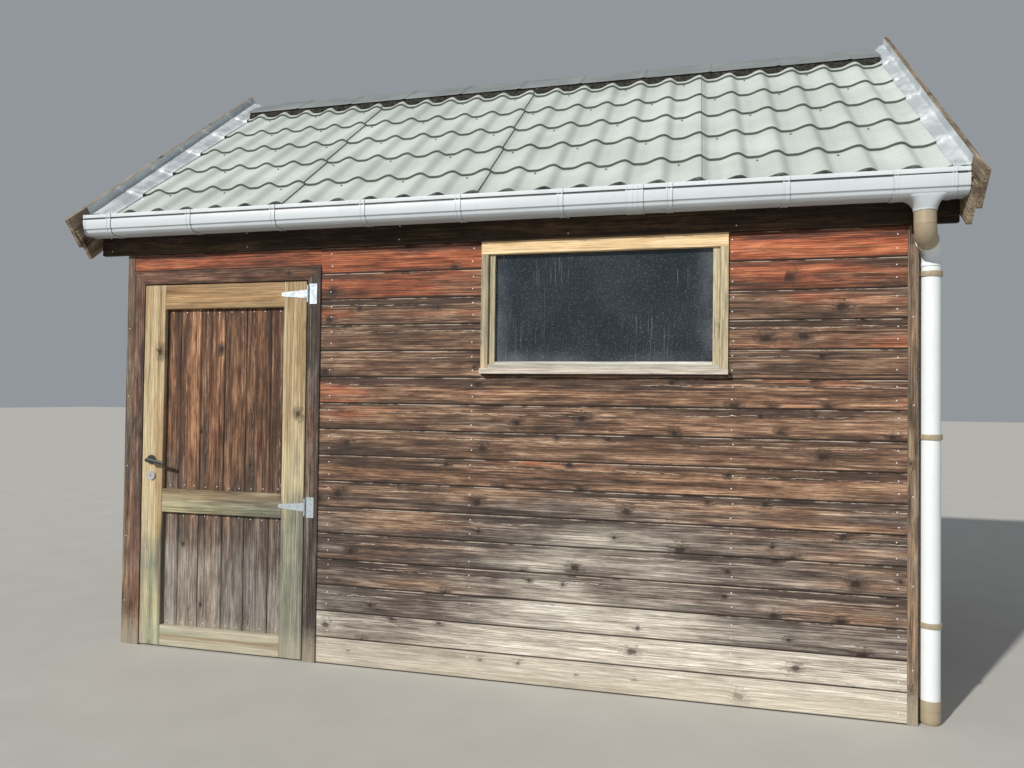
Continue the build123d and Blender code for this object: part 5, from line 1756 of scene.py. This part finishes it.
# %% Hardware finishes
def metal_finish(name, bright, dull, roughness, spot=0.5, metallic=1.0):
    """Metal with duller clouds and dark spots."""
    material, tree, shader = start_material(name, Metallic=metallic)
    place = object_place(tree)
    grime = grime_on(tree, 120.0)
    cloud = threshold(tree, soft_noise(tree, place, 28.0, 4.0, 0.6), 0.35, 0.68)
    tone = stained(tree, blend(tree, cloud, bright, dull), (0.1, 0.085, 0.07), grime["Specks"], spot)
    rough = threshold(tree, cloud, 0.0, 1.0, roughness, roughness + 0.2)
    finish_material(tree, shader, tone, rough, relief(tree, cloud, 0.0004, 0.5))
    return material


galvanised = metal_finish("galvanised_steel", (0.6, 0.66, 0.7), (0.44, 0.49, 0.53), 0.46, spot=0.25)
plate_steel = metal_finish("plate_steel", (0.66, 0.65, 0.62), (0.46, 0.45, 0.42), 0.3)
nail_steel = metal_finish("nail_steel", (0.94, 0.94, 0.92), (0.74, 0.74, 0.72), 0.45, spot=0.2, metallic=0.25)

lock_metal, tree, shader = start_material("lock_plate_metal")
place = object_place(tree)
grime = grime_on(tree, 160.0)
is_steel = threshold(tree, axis_values(tree, place)["Z"], 1.02, 1.021, 1.0, 0.0)
steel_tone = blend(tree, threshold(tree, grime["Film"], 0.35, 0.65), (0.86, 0.88, 0.89), (0.36, 0.36, 0.35))
black_tone = blend(tree, grime["Film"], (0.016, 0.017, 0.017), (0.06, 0.06, 0.056))
tree.links.new(is_steel, shader["Metallic"])
finish_material(tree, shader, blend(tree, is_steel, black_tone, steel_tone),
                threshold(tree, grime["Film"], 0.2, 0.8, 0.3, 0.48))

lever_black, tree, shader = start_material("black_lever", Specular_IOR_Level=0.5)
grime = grime_on(tree, 200.0)
lever_tone = blend(tree, grime["Film"], (0.012, 0.012, 0.013), (0.055, 0.05, 0.045))
finish_material(tree, shader, lever_tone, threshold(tree, grime["Film"], 0.2, 0.8, 0.28, 0.5))
dress_parts(["hinge_straps", "hinge_plates"], galvanised)
dress_parts(["lock_plates"], lock_metal)

# %% [markdown]
# Each strap has three screws in the leaf and each plate four in the trim. They are two pieces, because the
# first swing with the leaf.

# %% Hinge screws
front_turn = Matrix.Rotation(math.pi / 2, 4, "X")
strap_screws = bmesh.new()
plate_screws = bmesh.new()
hinge_front = -(trim_face + 0.003)
for hinge_z in (0.8325, 1.993):
    spots = [(strap_screws, x, 0.0) for x in (-0.975, -1.02, -1.07)]
    spots += [(plate_screws, -0.897, rise) for rise in (-0.042, -0.018, 0.018, 0.042)]
    for screws, x, rise in spots:
        place = Matrix.Translation((x, hinge_front, hinge_z + rise)) @ front_turn
        add_screw(screws, place, radius=0.0042, height=0.0016)
finish_piece(strap_screws, "hinge_strap_screws", plate_steel, body="door")
finish_piece(plate_screws, "hinge_plate_screws", plate_steel)

# %% [markdown]
# The lever droops and grows thinner towards its end, on one spindle with its twin inside. An oval outline
# carried along a falling line gives it in one piece, which turns with the handle's own body.

# %% Lever handle
handle_low, handle_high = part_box("door_handle")
handle_x, handle_z = -1.905, 1.062
outer_y, inner_y = handle_low.y, handle_high.y
lever_thickness, lever_length, lever_droop = 0.014, 0.125, 0.02
lever_back = 0.007
handle = bmesh.new()


def add_spindle(bm, y_from, y_to, radius):
    """A round bar through the leaf."""
    place = Matrix.Translation((handle_x, (y_from + y_to) / 2, handle_z)) @ front_turn
    bmesh.ops.create_cone(bm, cap_ends=True, segments=24, radius1=radius, radius2=radius,
                          depth=abs(y_to - y_from), matrix=place)


def add_lever(bm, y_middle):
    """A flat bar along a drooping line, with rounded edges and a thinner end."""

    def lever_point(turn, share):
        x = handle_x - lever_back + (lever_length + lever_back) * share
        z = handle_z - lever_droop * share ** 1.6
        half_high = (0.0125 - 0.003 * share) * min(1.0, 0.25 + 14 * share, 0.25 + 14 * (1.0 - share))
        half_thick = lever_thickness / 2 * min(1.0, 0.3 + 16 * share, 0.3 + 16 * (1.0 - share))
        cosine, sine = math.cos(turn), math.sin(turn)
        reach = (abs(cosine) ** 3 + abs(sine) ** 3) ** (-1 / 3)
        return Vector((x, y_middle + half_thick * cosine * reach, z + half_high * sine * reach))

    fresh = mapped_grid(bm, spread(0.0, 2 * math.pi, 20), spread(0.0, 1.0, 14), lever_point)
    bmesh.ops.remove_doubles(bm, verts=fresh, dist=1e-6)
    bmesh.ops.holes_fill(bm, edges=[edge for edge in bm.edges if edge.is_boundary], sides=0)


for y_middle in (outer_y + lever_thickness / 2, inner_y - lever_thickness / 2):
    add_lever(handle, y_middle)
add_spindle(handle, outer_y + 0.004, inner_y - 0.004, 0.0045)
add_spindle(handle, outer_y + 0.004, -1.497, 0.0085)
add_spindle(handle, inner_y - 0.004, -1.437, 0.0085)
bmesh.ops.recalc_face_normals(handle, faces=handle.faces[:])
finish_piece(handle, "door_handle_forged", lever_black, ["door_handle"], smooth=40,
             body="handle")

# %% [markdown]
# ## Nails
# Two nails hold each board at every stud, in lines that are never quite straight. A pattern in the material
# would be cheaper, but real heads catch the light, so each is a tiny cone, a little proud.

# %% Drive the nails
nails = bmesh.new()
leaf_nails = bmesh.new()


def add_nail(bm, x, y, z, normal_y, radius=0.0038):
    """A round head a little proud of the wood."""
    turn = Matrix.Rotation(-normal_y * math.pi / 2, 4, "X")
    place = Matrix.Translation((x, y + normal_y * 0.0004, z)) @ turn
    bmesh.ops.create_cone(bm, cap_ends=True, segments=8, radius1=radius, radius2=radius * 0.7,
                          depth=0.0016, matrix=place)


def shake(reach=0.006):
    """How far a nail is off its line."""
    return chance.uniform(-reach, reach)


nail_heights = [board_cover * (row + share) for row in range(row_count) for share in (0.3, 0.76)]
for side in (-1, 1):
    for z in nail_heights:
        for column in (-0.795, 0.002, 1.293, 2.01):
            on_window = border_low.x - 0.02 < column < border_high.x + 0.01 and z > 1.55
            on_opening = column < trim_high.x + 0.02 or on_window
            if z < 2.236 and not (side < 0 and on_opening):
                add_nail(nails, -side * column + shake(), side * face_y, z + shake(), side)
fascia_face = face_y + fascia_thickness
for side in (-1, 1):
    for x in (-2.19, -1.3, -0.4, 0.5, 1.3, 2.12):
        for z in (fascia_low.z + 0.022, fascia_low.z + 0.1):
            add_nail(nails, side * -x + shake(), side * fascia_face, z + shake(0.004), side)
for z in (0.25, 0.62, 1.02, 1.43, 1.82):
    for x in (corner_low.x + 0.022, half_width - 0.022):
        add_nail(nails, x + shake(0.003), -half_depth, z + shake(), -1, 0.0034)
for left, right in zip(board_edges, board_edges[1:]):
    for z in (1.905, 0.917, 0.748, 0.145):
        for share in (0.25, 0.75):
            x = left + (right - left) * share
            if stiles_low.x + stile_width < x < stiles_high.x - stile_width:
                add_nail(leaf_nails, x + shake(0.004), leaf_boards_low.y, z + shake(0.004), -1, 0.0036)
finish_piece(nails, "wall_nails", nail_steel)
finish_piece(leaf_nails, "door_board_nails", nail_steel, body="door")

# %% [markdown]
# ## Inside and floor
# The studs, beams and purlins are raw sawn timber, and their CAD shapes only get a finish with some cross
# grain. The floor of the view is pale and faintly mottled.

# %% Timber inside, and the floor
raw_timber, tree, shader = start_material("raw_stud_timber", Roughness=0.8, Specular_IOR_Level=0.2)
place = object_place(tree)
grain = soft_noise(tree, stretched(tree, place, 12.0, 12.0, 1.6), 1.0, 5.0, 0.6)
cross_grain = soft_noise(tree, stretched(tree, place, 1.2, 30.0, 30.0), 1.0, 4.0, 0.6)
crossed = threshold(tree, cross_grain, 0.45, 0.7, 0.0, 0.35)
tone = blend(tree, crossed, (0.55, 0.42, 0.27), (0.24, 0.165, 0.1))
finish_material(tree, shader, tone, normal=relief(tree, grain, 0.0015, 0.6))
dress_parts(["left_wall_frame", "right_wall_frame", "back_wall_frame", "front_wall_frame", "door_post",
             "door_head", "wall_beams", "purlins"], raw_timber)

floor_tone, tree, shader = start_material("pale_floor", Roughness=0.9, Specular_IOR_Level=0.1)
mottle = soft_noise(tree, object_place(tree), 3.0, 3.0, 0.55)
finish_material(tree, shader, blend(tree, mottle, (0.5, 0.485, 0.45), (0.58, 0.565, 0.53)))
studio_floor.data.materials.append(floor_tone)
